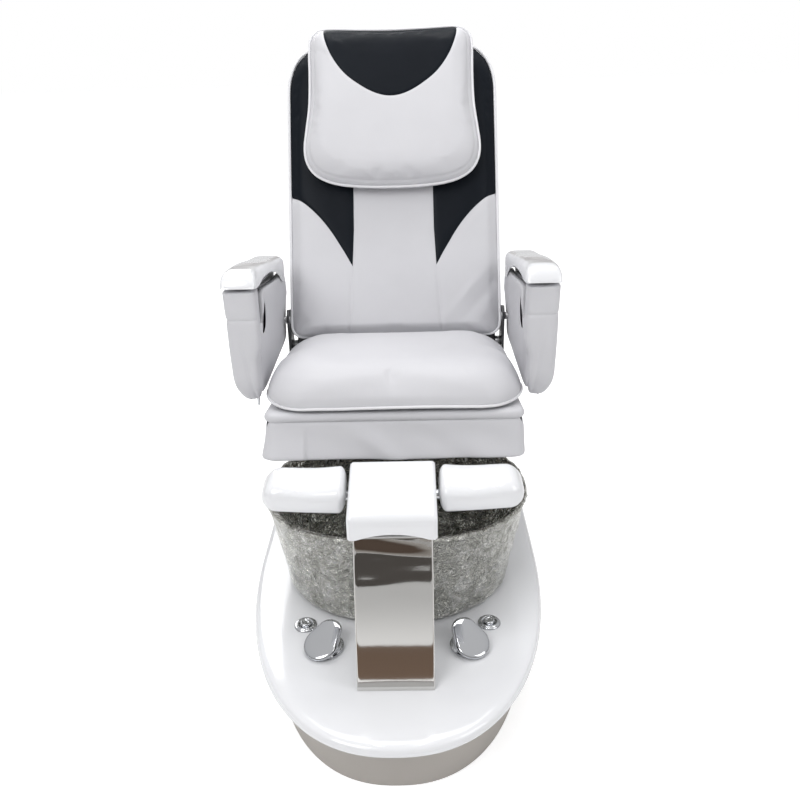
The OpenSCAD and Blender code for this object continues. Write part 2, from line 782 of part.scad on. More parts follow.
// Tube between the side members with the lever that the actuator pulls
module back_torque_tube() {
    color(steel_grey) in_place() on_back() {
        bar_x(frame_depth - 1, -back_tube_x, back_tube_x, 0, 0);
        rotate([back_lean, 0, 0]) {
            block([-5, -9, -lever_len - 9], [5, 9, -6]);
            bar_x(lever_pin_r, -19, 19, 0, -lever_len);
        }
    }
}

module back_cushion() {
    rear = cushion_front - crown + back_t;
    color(leather_white) in_place() on_back() hull() {
        through_back(cushion_front, rear) back_plan(back_half_w, cushion_low, back_h, 30, 62);
        through_back(cushion_front - crown, cushion_front - crown + 6)
            back_plan(back_half_w - crown_in, cushion_low + crown_in, back_h - crown_in, 20, 40);
    }
}

module rear_shell() {
    w = back_half_w - 2;
    color(plinth_grey) in_place() on_back() difference() {
        through_back(-frame_depth, shell_back) back_plan(w, shell_z0, back_h, 30, 62);
        through_back(-frame_depth - 10, shell_back - shell_t)
            back_plan(w - shell_t, shell_z0 + shell_t, back_h - shell_t, 25, 57);
        for (s = [-1, 1]) translate([s * (back_tube_x + back_tube_w / 2), 0, 0])
            block([-back_tube_w / 2 - 1, -frame_depth - 2, shell_z0 - 1],
                  [back_tube_w / 2 + 1, frame_depth + 1, shell_z0 + 32]);
    }
}

rod_x = 120;
rod_y = 72;
car_z = 250;
car_h = 110;
kneader_y = 22;

module massage_rails() {
    color(chrome_grey) in_place() on_back() {
        for (x = [-rod_x, rod_x])
            translate([x, rod_y, 58]) cylinder(r = pin_r, h = back_h - 158, $fn = 32);
        for (z = [46, back_h - 100])
            block([-back_tube_x - 24, rod_y - 16, z], [back_tube_x + 24, rod_y + 16, z + 12]);
        translate([0, rod_y, 58]) cylinder(r = pin_r - 1, h = back_h - 158, $fn = 32);
    }
}

module massage_carriage() {
    color(dark_plastic) in_place() on_back() difference() {
        union() {
            block([-150, 56, car_z], [150, 92, car_z + car_h]);
            for (x = [-66, 60]) block([x, kneader_y - 12, car_z + 40], [x + 6, 57, car_z + 70]);
        }
        for (x = [-rod_x, rod_x]) translate([x, rod_y, car_z - 1]) cylinder(r = pin_r + fit_gap, h = car_h + 2, $fn = 32);
        translate([0, rod_y, car_z - 1]) cylinder(r = pin_r - 1 + fit_gap, h = car_h + 2, $fn = 32);
        bar_x(6 + fit_gap, -80, 80, kneader_y, car_z + 55);
    }
}

module massage_rollers() {
    color(dark_plastic) in_place() on_back() translate([0, kneader_y, car_z + 55]) {
        bar_x(6, -112, 112, 0, 0);
        for (x = [-108, -50, 24, 82]) bar_x(29, x, x + 26, 0, 0);
    }
}

pillow_z0 = 404;
pillow_gap = 2;

module head_pillow() {
    rear = cushion_front - crown - pillow_gap;
    top = pillow_z0 + pillow_h;
    r = 24;
    color(leather_white) in_place() on_back() hull() {
        for (s = [-1, 1]) {
            for (y = [rear - r, rear - pillow_t + r + 18]) {
                translate([s * (pillow_half_w - r - 30), y, top - r - 4]) sphere(r = r, $fn = 24);
                translate([s * (pillow_half_w - r - 6), y, top - 60]) sphere(r = r, $fn = 24);
                translate([s * (pillow_half_w - r), y, pillow_z0 + 125]) sphere(r = r, $fn = 24);
                translate([s * (pillow_half_w - 62), y, pillow_z0 + 55]) sphere(r = r, $fn = 24);
                translate([s * 90, y, pillow_z0 + r]) sphere(r = r, $fn = 24);
            }
            for (z = [pillow_z0 + 110, top - 80])
                translate([s * (pillow_half_w - 90), rear - pillow_t + r, z]) sphere(r = r, $fn = 24);
        }
    }
}

// ---- Arms ----

cap_slope = 7;
arm_rear_y = 1046;
arm_low_z = 602;
frame_x = arm_in_x + 6;
frame_t = 6;

// Height of the arm cap's sloping underside at a distance from the front edge
function cap_under(y) = cap_z - (y - arm_front_y) * tan(cap_slope);

// Everything above the arm cap's underside, lowered by gap
module above_cap_line(gap) {
    across(-500, 500) polygon([
        [arm_front_y - 100, cap_under(arm_front_y - 100) - gap], [1200, cap_under(1200) - gap], [1200, 1400],
        [arm_front_y - 100, 1400]
    ]);
}

module below_cap_line() {
    across(-500, 500) polygon([
        [arm_front_y - 100, 300], [1200, 300], [1200, cap_under(1200)],
        [arm_front_y - 100, cap_under(arm_front_y - 100)]
    ]);
}

// Flat steel plate inside the arm, with its pivot hole and the upright under the cap
module arm_frame(s) {
    x0 = s > 0 ? frame_x : -frame_x - frame_t;
    color(dark_plastic) in_place() difference() {
        across(x0, x0 + frame_t) polygon([
            [646, 640], [1000, 632], [1036, 644], [1044, 672], [1034, 700], [1000, 760], [940, 812],
            [690, cap_under(690) - 12], [646, cap_under(646) - 12]
        ]);
        bar_x(arm_pin_r + fit_gap, x0 - 1, x0 + frame_t + 1, arm_pivot_y, arm_pivot_z);
    }
}

// Padded outer side with a wrap round the front, curving in at the bottom
module arm_shell(s) {
    x1 = arm_in_x + arm_w;
    color(leather_white) in_place() difference() {
        mirror([s < 0 ? 1 : 0, 0, 0]) union() {
            hull() {
                across(arm_in_x + pin_reach + 2, arm_in_x + pin_reach + 12)
                    polygon(round_box([arm_front_y + 6, arm_low_z + 2], [arm_rear_y - 16, 885], 20));
                across(x1 - 8, x1)
                    polygon(round_box([arm_front_y + 12, arm_low_z + 70], [arm_rear_y - 26, 875], 20));
            }
            hull() {
                translate([0, 0, arm_low_z + 95]) linear_extrude(180)
                    polygon(round_box([arm_in_x, arm_front_y], [x1 - 1, arm_front_y + 28], 12));
                translate([0, 0, arm_low_z]) linear_extrude(8)
                    polygon(round_box([arm_in_x, arm_front_y + 8], [x1 - 31, arm_front_y + 30], 10));
            }
        }
        above_cap_line(2);
    }
}

// Glossy armrest moulding over the top, rounded down at the front and the rear
module arm_cap(s) {
    color(gelcoat) in_place() difference() {
        mirror([s < 0 ? 1 : 0, 0, 0]) hull() {
            for (x = [arm_in_x + 4, arm_in_x + arm_w - 12]) {
                translate([x, arm_front_y + 10, 884]) sphere(r = 17, $fn = 24);
                translate([x, arm_front_y + 60, 893]) sphere(r = 17, $fn = 24);
                translate([x, arm_front_y + 190, 890]) sphere(r = 17, $fn = 24);
                translate([x, arm_rear_y - 60, 846]) sphere(r = 17, $fn = 24);
                translate([x, arm_rear_y - 30, 826]) sphere(r = 17, $fn = 24);
            }
        }
        below_cap_line();
    }
}

// Small release lever that hangs below the front of one arm
latch_y = 656;
latch_z = 652;

module arm_latch() {
    x1 = -frame_x - frame_t - clear_gap;
    color(chrome_grey) in_place() {
        bar_x(4, x1 - 7, x1, latch_y, latch_z);
        across(x1 - 5, x1) polygon(concat(
            [for (t = [0 : 20 : 180]) [latch_y + 7 * cos(t), latch_z + 7 * sin(t)]],
            [for (t = [180 : 20 : 360]) [latch_y + 6 * cos(t), arm_low_z - 18 + 6 * sin(t)]]
        ));
    }
}

base_deck();
plinth_skirt();
sill(-1);  // sill_left
sill(1);  // sill_right
sill_cross(sill_front_y + 10);  // sill_cross_front
sill_cross(sill_rear_y - 20);  // sill_cross_rear
levelling_feet();
deck_posts();
pedestal_moulding();
access_panel();
pedestal_plate();
bowl();
waste_strainer();
jet_fitting();
drain_pump();
pipework();
rear_stubs();
valve_bodies();
front_plate();
column_outer();
column_inner();
cross_tube();
saddle();
wing(-1);  // wing_left
wing(1);  // wing_right
lever_handle(-1, -22);  // handle_left
lever_handle(1, 14);  // handle_right
button_rings();
push_button(-1);  // button_left
push_button(1);  // button_right
slide_rails();
channel(-1);  // channel_left
channel(1);  // channel_right
seat_frame(-1);  // seat_frame_left
seat_frame(1);  // seat_frame_right
seat_pan();
seat_cushion();
seat_apron();
hinge_bracket(-1);  // hinge_bracket_left
hinge_bracket(1);  // hinge_bracket_right
pivot_pins();
actuator_body();
actuator_rod();
back_frame(-1);  // back_frame_left
back_frame(1);  // back_frame_right
back_torque_tube();
back_cushion();
rear_shell();
massage_rails();
massage_carriage();
massage_rollers();
head_pillow();
arm_frame(-1);  // arm_frame_left
arm_shell(-1);  // arm_shell_left
arm_cap(-1);  // arm_cap_left
arm_frame(1);  // arm_frame_right
arm_shell(1);  // arm_shell_right
arm_cap(1);  // arm_cap_right
arm_latch();
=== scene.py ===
import bpy
import json
import math
import numpy as np
from mathutils import Matrix, Vector, noise
from mathutils.bvhtree import BVHTree


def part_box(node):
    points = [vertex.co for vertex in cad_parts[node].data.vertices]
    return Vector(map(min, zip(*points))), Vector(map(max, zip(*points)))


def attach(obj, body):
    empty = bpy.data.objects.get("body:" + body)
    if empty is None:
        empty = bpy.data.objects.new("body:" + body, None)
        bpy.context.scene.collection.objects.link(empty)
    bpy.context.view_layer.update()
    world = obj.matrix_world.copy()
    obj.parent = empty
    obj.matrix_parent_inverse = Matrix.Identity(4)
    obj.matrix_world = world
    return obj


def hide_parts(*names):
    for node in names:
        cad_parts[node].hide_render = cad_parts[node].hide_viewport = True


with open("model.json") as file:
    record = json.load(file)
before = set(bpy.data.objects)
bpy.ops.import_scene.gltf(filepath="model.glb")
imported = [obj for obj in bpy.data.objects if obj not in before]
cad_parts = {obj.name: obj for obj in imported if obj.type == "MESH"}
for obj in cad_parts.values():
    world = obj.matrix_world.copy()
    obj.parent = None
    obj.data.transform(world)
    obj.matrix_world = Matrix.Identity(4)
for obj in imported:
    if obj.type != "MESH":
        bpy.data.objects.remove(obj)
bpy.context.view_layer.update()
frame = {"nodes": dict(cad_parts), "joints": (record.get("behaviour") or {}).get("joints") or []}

# ---- Camera, studio light and floor ----
# Eye height of a standing person in front of the chair, a little to its right, on a plain pale
# floor under broad softboxes. The sky is white from above and darker near the horizon, so that
# the polished steel has something to mirror.
deck_low, deck_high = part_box("base_deck")
yaw, pitch, roll = -0.020, 0.417, -0.027
forward = Vector((math.sin(yaw) * math.cos(pitch), math.cos(yaw) * math.cos(pitch), -math.sin(pitch)))
level_right = Vector((math.cos(yaw), -math.sin(yaw), 0))
level_up = level_right.cross(forward)
cam_right = math.cos(roll) * level_right + math.sin(roll) * level_up
cam_up = math.cos(roll) * level_up - math.sin(roll) * level_right
camera_data = bpy.data.cameras.new("camera")
camera_data.lens = 36.36
camera_data.sensor_width = 36
camera = bpy.data.objects.new("camera", camera_data)
bpy.context.scene.collection.objects.link(camera)
eye = Vector((0.048, deck_low.y - 1.088, 1.356))
camera.matrix_world = Matrix.Translation(eye) @ Matrix((cam_right, cam_up, -forward)).transposed().to_4x4()
bpy.context.scene.camera = camera
bpy.context.scene.view_settings.view_transform = "Standard"


def add(tree, kind, links=None, **settings):
    """Adds a shader node; settings are its own properties, links are input name to value or socket."""
    made = tree.nodes.new(kind)
    for key, value in settings.items():
        setattr(made, key, value)
    for key, value in (links or {}).items():
        socket = made.inputs[key]
        if isinstance(value, bpy.types.NodeSocket):
            tree.links.new(value, socket)
        else:
            socket.default_value = value
    return made


def ramp(tree, fac, stops):
    """A colour ramp with the given positions and colours."""
    made = add(tree, "ShaderNodeValToRGB", {"Fac": fac})
    while len(made.color_ramp.elements) < len(stops):
        made.color_ramp.elements.new(0.5)
    for element, (place, colour) in zip(made.color_ramp.elements, stops):
        element.position = place
        element.color = (*colour, 1)
    return made.outputs["Color"]


world = bpy.data.worlds.new("studio")
bpy.context.scene.world = world
world.use_nodes = True
sky = world.node_tree
sky.nodes.clear()
direction = add(sky, "ShaderNodeTexCoord").outputs["Generated"]
height = add(sky, "ShaderNodeSeparateXYZ", {"Vector": direction}).outputs["Z"]
height = add(sky, "ShaderNodeMapRange", {"Value": height, "From Min": -0.1, "From Max": 0.9}).outputs["Result"]
tone = ramp(sky, height, [
    (0.0, (0.60, 0.58, 0.55)), (0.095, (0.52, 0.49, 0.46)), (0.11, (0.13, 0.095, 0.075)),
    (0.185, (0.17, 0.125, 0.10)), (0.20, (0.30, 0.29, 0.26)), (0.31, (0.40, 0.40, 0.38)),
    (0.45, (0.80, 0.81, 0.83)), (1.0, (1.0, 1.0, 1.0)),
])
room = add(sky, "ShaderNodeBackground", {"Color": tone, "Strength": 0.72})
plain = add(sky, "ShaderNodeBackground", {"Color": (1.0, 1.0, 1.0, 1), "Strength": 1.0})
seen = add(sky, "ShaderNodeLightPath").outputs["Is Camera Ray"]
both = add(sky, "ShaderNodeMixShader", {0: seen, 1: room.outputs[0], 2: plain.outputs[0]})
add(sky, "ShaderNodeOutputWorld", {"Surface": both.outputs[0]})


def softbox(name, place, aim, size, watts):
    """A rectangular area light that faces a point."""
    data = bpy.data.lights.new(name, "AREA")
    data.shape = "RECTANGLE"
    data.size, data.size_y = size
    data.energy = watts
    lamp = bpy.data.objects.new(name, data)
    bpy.context.scene.collection.objects.link(lamp)
    lamp.location = place
    lamp.rotation_euler = (Vector(aim) - Vector(place)).to_track_quat("-Z", "Y").to_euler()


softbox("key_light", (-1.6, -2.2, 3.0), (0, 0, 0.5), (1.6, 1.6), 46)
softbox("fill_light", (2.4, -1.6, 2.2), (0, 0, 0.5), (1.4, 1.8), 20)
softbox("top_light", (0.0, 0.9, 3.4), (0, 0, 0.6), (2.6, 1.2), 23)
softbox("tube_light_left", (-0.27, 0.25, 2.6), (-0.27, 0.25, 0), (0.05, 2.0), 5)
softbox("tube_light_right", (0.25, 0.25, 2.6), (0.25, 0.25, 0), (0.05, 2.0), 5)
softbox("back_light", (-1.2, 2.8, 2.4), (0, 0.3, 0.8), (1.6, 1.6), 30)


def mesh_piece(name, points, faces, smooth=True):
    """A new mesh object from points and faces."""
    mesh = bpy.data.meshes.new(name)
    mesh.from_pydata([tuple(p) for p in points], [], faces)
    mesh.update()
    mesh.polygons.foreach_set("use_smooth", [smooth] * len(mesh.polygons))
    piece = bpy.data.objects.new(name, mesh)
    bpy.context.scene.collection.objects.link(piece)
    return piece


def new_material(name):
    """An empty material with a Principled shader; returns the material, its tree and the shader."""
    made = bpy.data.materials.new(name)
    made.use_nodes = True
    tree = made.node_tree
    return made, tree, tree.nodes["Principled BSDF"]


floor = mesh_piece("studio_floor", [(-30, -30, 0), (30, -30, 0), (30, 30, 0), (-30, 30, 0)], [(0, 1, 2, 3)])
floor_paint, tree, shader = new_material("floor_paint")
shader.inputs["Base Color"].default_value = (0.93, 0.93, 0.93, 1)
shader.inputs["Roughness"].default_value = 0.9
shader.inputs["Specular IOR Level"].default_value = 0.1
seen = add(tree, "ShaderNodeLightPath").outputs["Is Camera Ray"]
shader.inputs["Emission Color"].default_value = (1, 1, 1, 1)
tree.links.new(add(tree, "ShaderNodeMath", {0: seen, 1: 0.42}, operation="MULTIPLY").outputs[0],
               shader.inputs["Emission Strength"])
floor.data.materials.append(floor_paint)
for name, near, far, shade in (("brown_runner", 1.85, 2.80, (0.135, 0.080, 0.048)), ("dark_runner", 8.0, 24.0, (0.075, 0.062, 0.052))):
    runner = mesh_piece(name, [(-3, -far, 0.002), (3, -far, 0.002), (3, -near, 0.002), (-3, -near, 0.002)], [(0, 1, 2, 3)])
    cloth, tree, shader = new_material(name + "_cloth")
    shader.inputs["Base Color"].default_value = (*shade, 1)
    shader.inputs["Roughness"].default_value = 0.9
    runner.data.materials.append(cloth)
    runner.visible_camera = False
    runner.visible_diffuse = False
    runner.visible_shadow = False

# ---- Base deck and plinth ----
# A one-piece gelcoat moulding with a polished white top, a rounded nose and a rim that overhangs
# a recessed satin skirt. The skirt is a rolled panel screwed to the floor frame from inside.
run = 0.640
plan_power = 2.3


def signed_power(value, power):
    return math.copysign(abs(value) ** power, value)


def base_outline(inset_front, inset_side, corner):
    """Points of the base's outline, inset from the rim, always the same number of them."""
    half = deck_high.x - inset_side
    middle = deck_low.y + run
    rear = deck_high.y - inset_side
    points = []
    for k in range(121):
        a = math.pi * (1 + k / 120)
        points.append((half * signed_power(math.cos(a), 2 / plan_power),
                       middle + (run - inset_front) * signed_power(math.sin(a), 2 / plan_power)))
    for k in range(1, 24):
        points.append((half, middle + (rear - corner - middle) * k / 24))
    for k in range(17):
        a = math.pi / 2 * k / 16
        points.append((half - corner * (1 - math.cos(a)), rear - corner * (1 - math.sin(a))))
    for k in range(1, 16):
        points.append(((half - corner) * (1 - 2 * k / 16), rear))
    for k in range(17):
        a = math.pi / 2 * (1 + k / 16)
        points.append((-half + corner * (1 + math.cos(a)), rear - corner * (1 - math.sin(a))))
    for k in range(1, 24):
        points.append((-half, rear - corner + (middle - rear + corner) * k / 24))
    return points


def lofted(name, rings, close_ends=True, smooth=True):
    """Skins rings of equal counts one after another, and closes the first and the last."""
    count = len(rings[0])
    points = [p for ring in rings for p in ring]
    faces = []
    for r in range(len(rings) - 1):
        for k in range(count):
            n = (k + 1) % count
            faces.append((r * count + k, r * count + n, (r + 1) * count + n, (r + 1) * count + k))
    if close_ends:
        faces.append(tuple(reversed(range(count))))
        last = (len(rings) - 1) * count
        faces.append(tuple(range(last, last + count)))
    return mesh_piece(name, points, faces, smooth)


def deck_ring(inset, z):
    return [(x, y, z) for x, y in base_outline(inset, inset, 0.090 - inset * 0.6)]


top = deck_high.z
under = deck_low.z
deck = lofted("deck_moulding", [
    deck_ring(0.060, under), deck_ring(0.059, under), deck_ring(0.004, under), deck_ring(0.0012, under + 0.0008),
    deck_ring(0.0, under + 0.003), deck_ring(0.0, under + 0.0085), deck_ring(0.0008, under + 0.0095),
    deck_ring(0.0004, top - 0.0130), deck_ring(0.0012, top - 0.0095), deck_ring(0.0035, top - 0.0060),
    deck_ring(0.0075, top - 0.0034), deck_ring(0.0140, top - 0.0018), deck_ring(0.0240, top - 0.0008),
    deck_ring(0.0380, top - 0.0002), deck_ring(0.0560, top), deck_ring(0.0570, top),
])


def noise_height(tree, vector, scale, detail=3.0, rough=0.5):
    """Fractal noise, as a socket."""
    return add(tree, "ShaderNodeTexNoise",
               {"Vector": vector, "Scale": scale, "Detail": detail, "Roughness": rough}).outputs["Fac"]


def math_node(tree, kind, *values):
    made = add(tree, "ShaderNodeMath", operation=kind)
    for socket, value in zip(made.inputs, values):
        if isinstance(value, bpy.types.NodeSocket):
            tree.links.new(value, socket)
        else:
            socket.default_value = value
    return made.outputs[0]


def effect_group(name, numbers, outs):
    """A node group with number inputs and a coordinate vector, ready to fill."""
    group = bpy.data.node_groups.new(name, "ShaderNodeTree")
    group.interface.new_socket("Vector", in_out="INPUT", socket_type="NodeSocketVector")
    for key, value in numbers.items():
        socket = group.interface.new_socket(key, in_out="INPUT", socket_type="NodeSocketFloat")
        socket.default_value = value
    for key, kind in outs.items():
        group.interface.new_socket(key, in_out="OUTPUT", socket_type=kind)
    return group, group.nodes.new("NodeGroupInput").outputs, group.nodes.new("NodeGroupOutput").inputs


# Handling: faint cloudy smudges and fine wipe marks, for every smooth hard finish
handling, given, taken = effect_group("handling", {"Smudge": 0.05, "Base": 0.1},
                                      {"Roughness": "NodeSocketFloat", "Height": "NodeSocketFloat"})
cloud = noise_height(handling, given["Vector"], 9.0, 5.0, 0.6)
fine = noise_height(handling, given["Vector"], 160.0, 2.0, 0.5)
blot = math_node(handling, "MULTIPLY", math_node(handling, "SUBTRACT", cloud, 0.35), given["Smudge"])
rough = math_node(handling, "ADD", given["Base"], blot)
handling.links.new(math_node(handling, "MAXIMUM", rough, 0.01), taken["Roughness"])
handling.links.new(math_node(handling, "MULTIPLY_ADD", fine, 0.15, cloud), taken["Height"])

# Dust: pale film that settles on upward faces and in patches
dust, given, taken = effect_group("settled_dust", {"Amount": 0.1}, {"Mask": "NodeSocketFloat"})
facing = add(dust, "ShaderNodeSeparateXYZ", {"Vector": add(dust, "ShaderNodeNewGeometry").outputs["Normal"]})
patch = noise_height(dust, given["Vector"], 14.0, 6.0, 0.65)
upward = math_node(dust, "MAXIMUM", facing.outputs["Z"], 0.0)
dust.links.new(math_node(dust, "MULTIPLY", math_node(dust, "MULTIPLY", upward, patch), given["Amount"]),
               taken["Mask"])


def object_vector(tree):
    return add(tree, "ShaderNodeTexCoord").outputs["Object"]


def placed(tree, group, links):
    made = tree.nodes.new("ShaderNodeGroup")
    made.node_tree = group
    for key, value in links.items():
        if isinstance(value, bpy.types.NodeSocket):
            tree.links.new(value, made.inputs[key])
        else:
            made.inputs[key].default_value = value
    return made.outputs


def tinted(tree, mask, low, high):
    """Two colours mixed by a mask."""
    made = add(tree, "ShaderNodeMix", data_type="RGBA")
    tree.links.new(mask, made.inputs["Factor"])
    for key, value in (("A", low), ("B", high)):
        socket = [s for s in made.inputs if s.name == key and s.type == "RGBA"][0]
        if isinstance(value, bpy.types.NodeSocket):
            tree.links.new(value, socket)
        else:
            socket.default_value = (*value, 1)
    return [s for s in made.outputs if s.type == "RGBA"][0]


def bumped(tree, shader, height, strength, distance):
    made = add(tree, "ShaderNodeBump", {"Height": height, "Strength": strength, "Distance": distance})
    tree.links.new(made.outputs["Normal"], shader.inputs["Normal"])


def hard_finish(name, light, dark, metal=0.0, rough=0.1, smudge=0.05, coat=0.0, wave=0.02, dusty=0.08):
    """Polished, painted or moulded finish with cloudy tone, smudges and a little dust."""
    made, tree, shader = new_material(name)
    where = object_vector(tree)
    worn = placed(tree, handling, {"Vector": where, "Smudge": smudge, "Base": rough})
    film = placed(tree, dust, {"Vector": where, "Amount": dusty})
    tone = tinted(tree, noise_height(tree, where, 3.0, 4.0, 0.55), dark, light)
    tone = tinted(tree, film["Mask"], tone, (0.60, 0.59, 0.57))
    tree.links.new(tone, shader.inputs["Base Color"])
    tree.links.new(worn["Roughness"], shader.inputs["Roughness"])
    shader.inputs["Metallic"].default_value = metal
    shader.inputs["Coat Weight"].default_value = coat
    shader.inputs["Coat Roughness"].default_value = 0.03
    bumped(tree, shader, worn["Height"], wave, 0.002)
    return made


gelcoat = hard_finish("white_gelcoat", (0.775, 0.780, 0.800), (0.745, 0.750, 0.770), rough=0.13, smudge=0.05,
                      coat=0.6, wave=0.03, dusty=0.02)
deck.data.materials.append(gelcoat)
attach(deck, "base")
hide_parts("base_deck")

skirt_low, skirt_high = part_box("plinth_skirt")
skirt_front = skirt_low.y - deck_low.y
skirt_side = deck_high.x - skirt_high.x


def skirt_ring(deeper, z):
    return [(x, y, z) for x, y in base_outline(skirt_front + deeper, skirt_side + deeper, 0.060 - deeper)]


skirt = lofted("plinth_panel", [
    skirt_ring(0.0060, skirt_low.z), skirt_ring(0.0010, skirt_low.z), skirt_ring(0.0, skirt_low.z + 0.001),
    skirt_ring(0.0, skirt_low.z + 0.004), skirt_ring(0.0, skirt_high.z - 0.004), skirt_ring(0.0, skirt_high.z),
    skirt_ring(0.0060, skirt_high.z), skirt_ring(0.0060, skirt_high.z - 0.004), skirt_ring(0.0060, skirt_low.z + 0.004),
], close_ends=False)
count = len(skirt_ring(0, 0))
closing = [(8 * count + k, 8 * count + (k + 1) % count, (k + 1) % count, k) for k in range(count)]
whole = [tuple(v.co) for v in skirt.data.vertices]
faces = [tuple(p.vertices) for p in skirt.data.polygons] + closing
skirt.data.clear_geometry()
skirt.data.from_pydata(whole, [], faces)
skirt.data.polygons.foreach_set("use_smooth", [True] * len(skirt.data.polygons))
satin_skirt = hard_finish("satin_skirt", (0.455, 0.425, 0.395), (0.405, 0.380, 0.352), rough=0.42, smudge=0.12,
                          wave=0.10, dusty=0.05)
skirt.data.materials.append(satin_skirt)
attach(skirt, "base")
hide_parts("plinth_skirt")


# ---- Bowl ----
# Deep oval footbath cast in smoky silver resin with a crackled face. It is bonded to the deck,
# with a thick rolled lip that catches the light.
bowl_low, bowl_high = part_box("bowl")
bowl_y = (bowl_low.y + bowl_high.y) / 2
rim_half = (bowl_high.x, (bowl_high.y - bowl_low.y) / 2)
rim_top = bowl_high.z


def bowl_profile():
    """Half width, half depth and height along the outside, over the lip and down the inside."""
    w, d = rim_half
    wall = 0.015
    return [
        (w - 0.052, d + 0.008 - 0.006, top + 0.0005), (w - 0.046, d + 0.012, top + 0.006), (w - 0.041, d + 0.018, top + 0.016),
        (w - 0.038, d + 0.014, top + 0.034), (w - 0.034, d + 0.008, top + 0.056), (w - 0.027, d + 0.004, top + 0.085),
        (w - 0.019, d - 0.001, top + 0.120), (w - 0.012, d - 0.003, top + 0.155), (w - 0.008, d - 0.004, top + 0.180),
        (w - 0.006, d - 0.003, top + 0.192), (w - 0.002, d, top + 0.198), (w, d + 0.001, rim_top - 0.006),
        (w - 0.003, d - 0.002, rim_top - 0.001), (w - 0.009, d - 0.008, rim_top), (w - 0.015, d - 0.014, rim_top - 0.002),
        (w - 0.018, d - 0.017, rim_top - 0.008), (w - 0.021, d - 0.019, rim_top - 0.018), (w - 0.028, d - 0.022, rim_top - 0.050),
        (w - 0.038, d - 0.022, rim_top - 0.090), (w - 0.052, d - 0.020, rim_top - 0.125), (w - 0.066, d - 0.022, rim_top - 0.155),
        (w - 0.080, d - 0.034, rim_top - 0.175), (w - 0.100, d - 0.054, rim_top - 0.182), (w - 0.150, d - 0.100, rim_top - 0.1835),
        (w - 0.210, d - 0.145, rim_top - 0.184), (w - 0.270, d - 0.188, rim_top - 0.184),
    ]


def resampled(path, step):
    """The same polyline with a point at least every step."""
    out = [path[0]]
    for a, b in zip(path, path[1:]):
        parts = max(1, round(math.dist(a, b) / step))
        out += [tuple(p + (q - p) * k / parts for p, q in zip(a, b)) for k in range(1, parts + 1)]
    return out


def crackle(x, y, z, scale):
    """Facets between crease lines: 0 on a crease and 1 well inside a facet."""
    near = noise.voronoi(Vector((x, y, z * 1.2)) * scale)[0]
    return min(1.0, (near[1] - near[0]) * 2.4)


around = 300
rings = []
for a, b, z in resampled(bowl_profile(), 0.0052):
    ring = []
    for k in range(around):
        t = 2 * math.pi * k / around
        cx, cy = signed_power(math.cos(t), 2 / plan_power), signed_power(math.sin(t), 2 / plan_power)
        x, y = a * cx, b * cy
        lively = 0.6 + 0.9 * max(0.0, x / rim_half[0])
        warp = Vector((x, y, z)) * 9
        wx, wy, wz = (0.018 * noise.noise(warp + Vector((s, s, s))) for s in (0.0, 7.3, 13.7))
        shape = crackle(x + wx, y + wy, z + wz, 22) * 0.0016 + crackle(x + 3 + wx, y, z + wz, 58) * 0.0010
        shape += 0.0012 * noise.noise(Vector((x, y, z)) * 75)
        push = (shape - 0.0032) * lively if z > top + 0.004 else -0.001
        if z > rim_top - 0.012:
            push *= 0.7
        away = Vector((cx, cy, 0)).normalized()
        lip = 0.0016 * noise.noise(Vector((x, y, 0)) * 38) if z > rim_top - 0.012 else 0
        side = 1 if (len(rings) < 46) else -1
        ring.append((x + away.x * push * side, bowl_y + y + away.y * push * side, z + lip - (0.0016 if lip else 0)))
    rings.append(ring)
bowl = lofted("footbath_bowl", rings, close_ends=False)
seats = len(rings) - 1
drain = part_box("waste_strainer")[1]

bowl_glass, tree, shader = new_material("crackled_resin")
where = object_vector(tree)
bend = add(tree, "ShaderNodeTexNoise", {"Vector": where, "Scale": 16.0, "Detail": 3.0}).outputs["Color"]
bend = add(tree, "ShaderNodeVectorMath", {0: bend, 1: (0.09, 0.09, 0.09)}, operation="MULTIPLY").outputs[0]
curled = add(tree, "ShaderNodeVectorMath", {0: where, 1: bend}, operation="ADD").outputs[0]
swirl = noise_height(tree, curled, 26.0, 8.0, 0.70)
ripple = add(tree, "ShaderNodeTexWave", {"Vector": curled, "Scale": 15.0, "Distortion": 9.0, "Detail": 4.0,
                                         "Detail Scale": 2.2}, wave_profile="SIN").outputs["Fac"]
cells = add(tree, "ShaderNodeTexVoronoi", {"Vector": curled, "Scale": 34.0}, feature="DISTANCE_TO_EDGE").outputs["Distance"]
shards = add(tree, "ShaderNodeTexVoronoi", {"Vector": curled, "Scale": 95.0}, feature="DISTANCE_TO_EDGE").outputs["Distance"]
foil = ramp(tree, swirl, [(0.34, (0.30, 0.30, 0.27)), (0.46, (0.47, 0.47, 0.43)), (0.56, (0.62, 0.62, 0.58)),
                          (0.68, (0.84, 0.84, 0.82))])
edge = ramp(tree, cells, [(0.0, (0.0, 0.0, 0.0)), (0.045, (1, 1, 1))])
dim = tinted(tree, edge, (0.62, 0.62, 0.60), foil)
tree.links.new(dim, shader.inputs["Base Color"])
shader.inputs["Metallic"].default_value = 1.0
shader.inputs["Coat Weight"].default_value = 0.7
shader.inputs["Coat Roughness"].default_value = 0.04
rough = math_node(tree, "MULTIPLY_ADD", swirl, 0.16, 0.05)
tree.links.new(rough, shader.inputs["Roughness"])
relief = math_node(tree, "MULTIPLY_ADD", shards, 1.2, math_node(tree, "MULTIPLY_ADD", cells, 0.8, swirl))
relief = math_node(tree, "MULTIPLY_ADD", ripple, 0.32, relief)
bumped(tree, shader, relief, 1.0, 0.016)
bowl.data.materials.append(bowl_glass)
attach(bowl, "base")
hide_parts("bowl")

# ---- Front plate and footrest ----
# A folded mirror-polished stainless cover leans over the height column. It carries a gloss white
# saddle and, on a chromed cross tube, two gloss white foot pads that tilt.


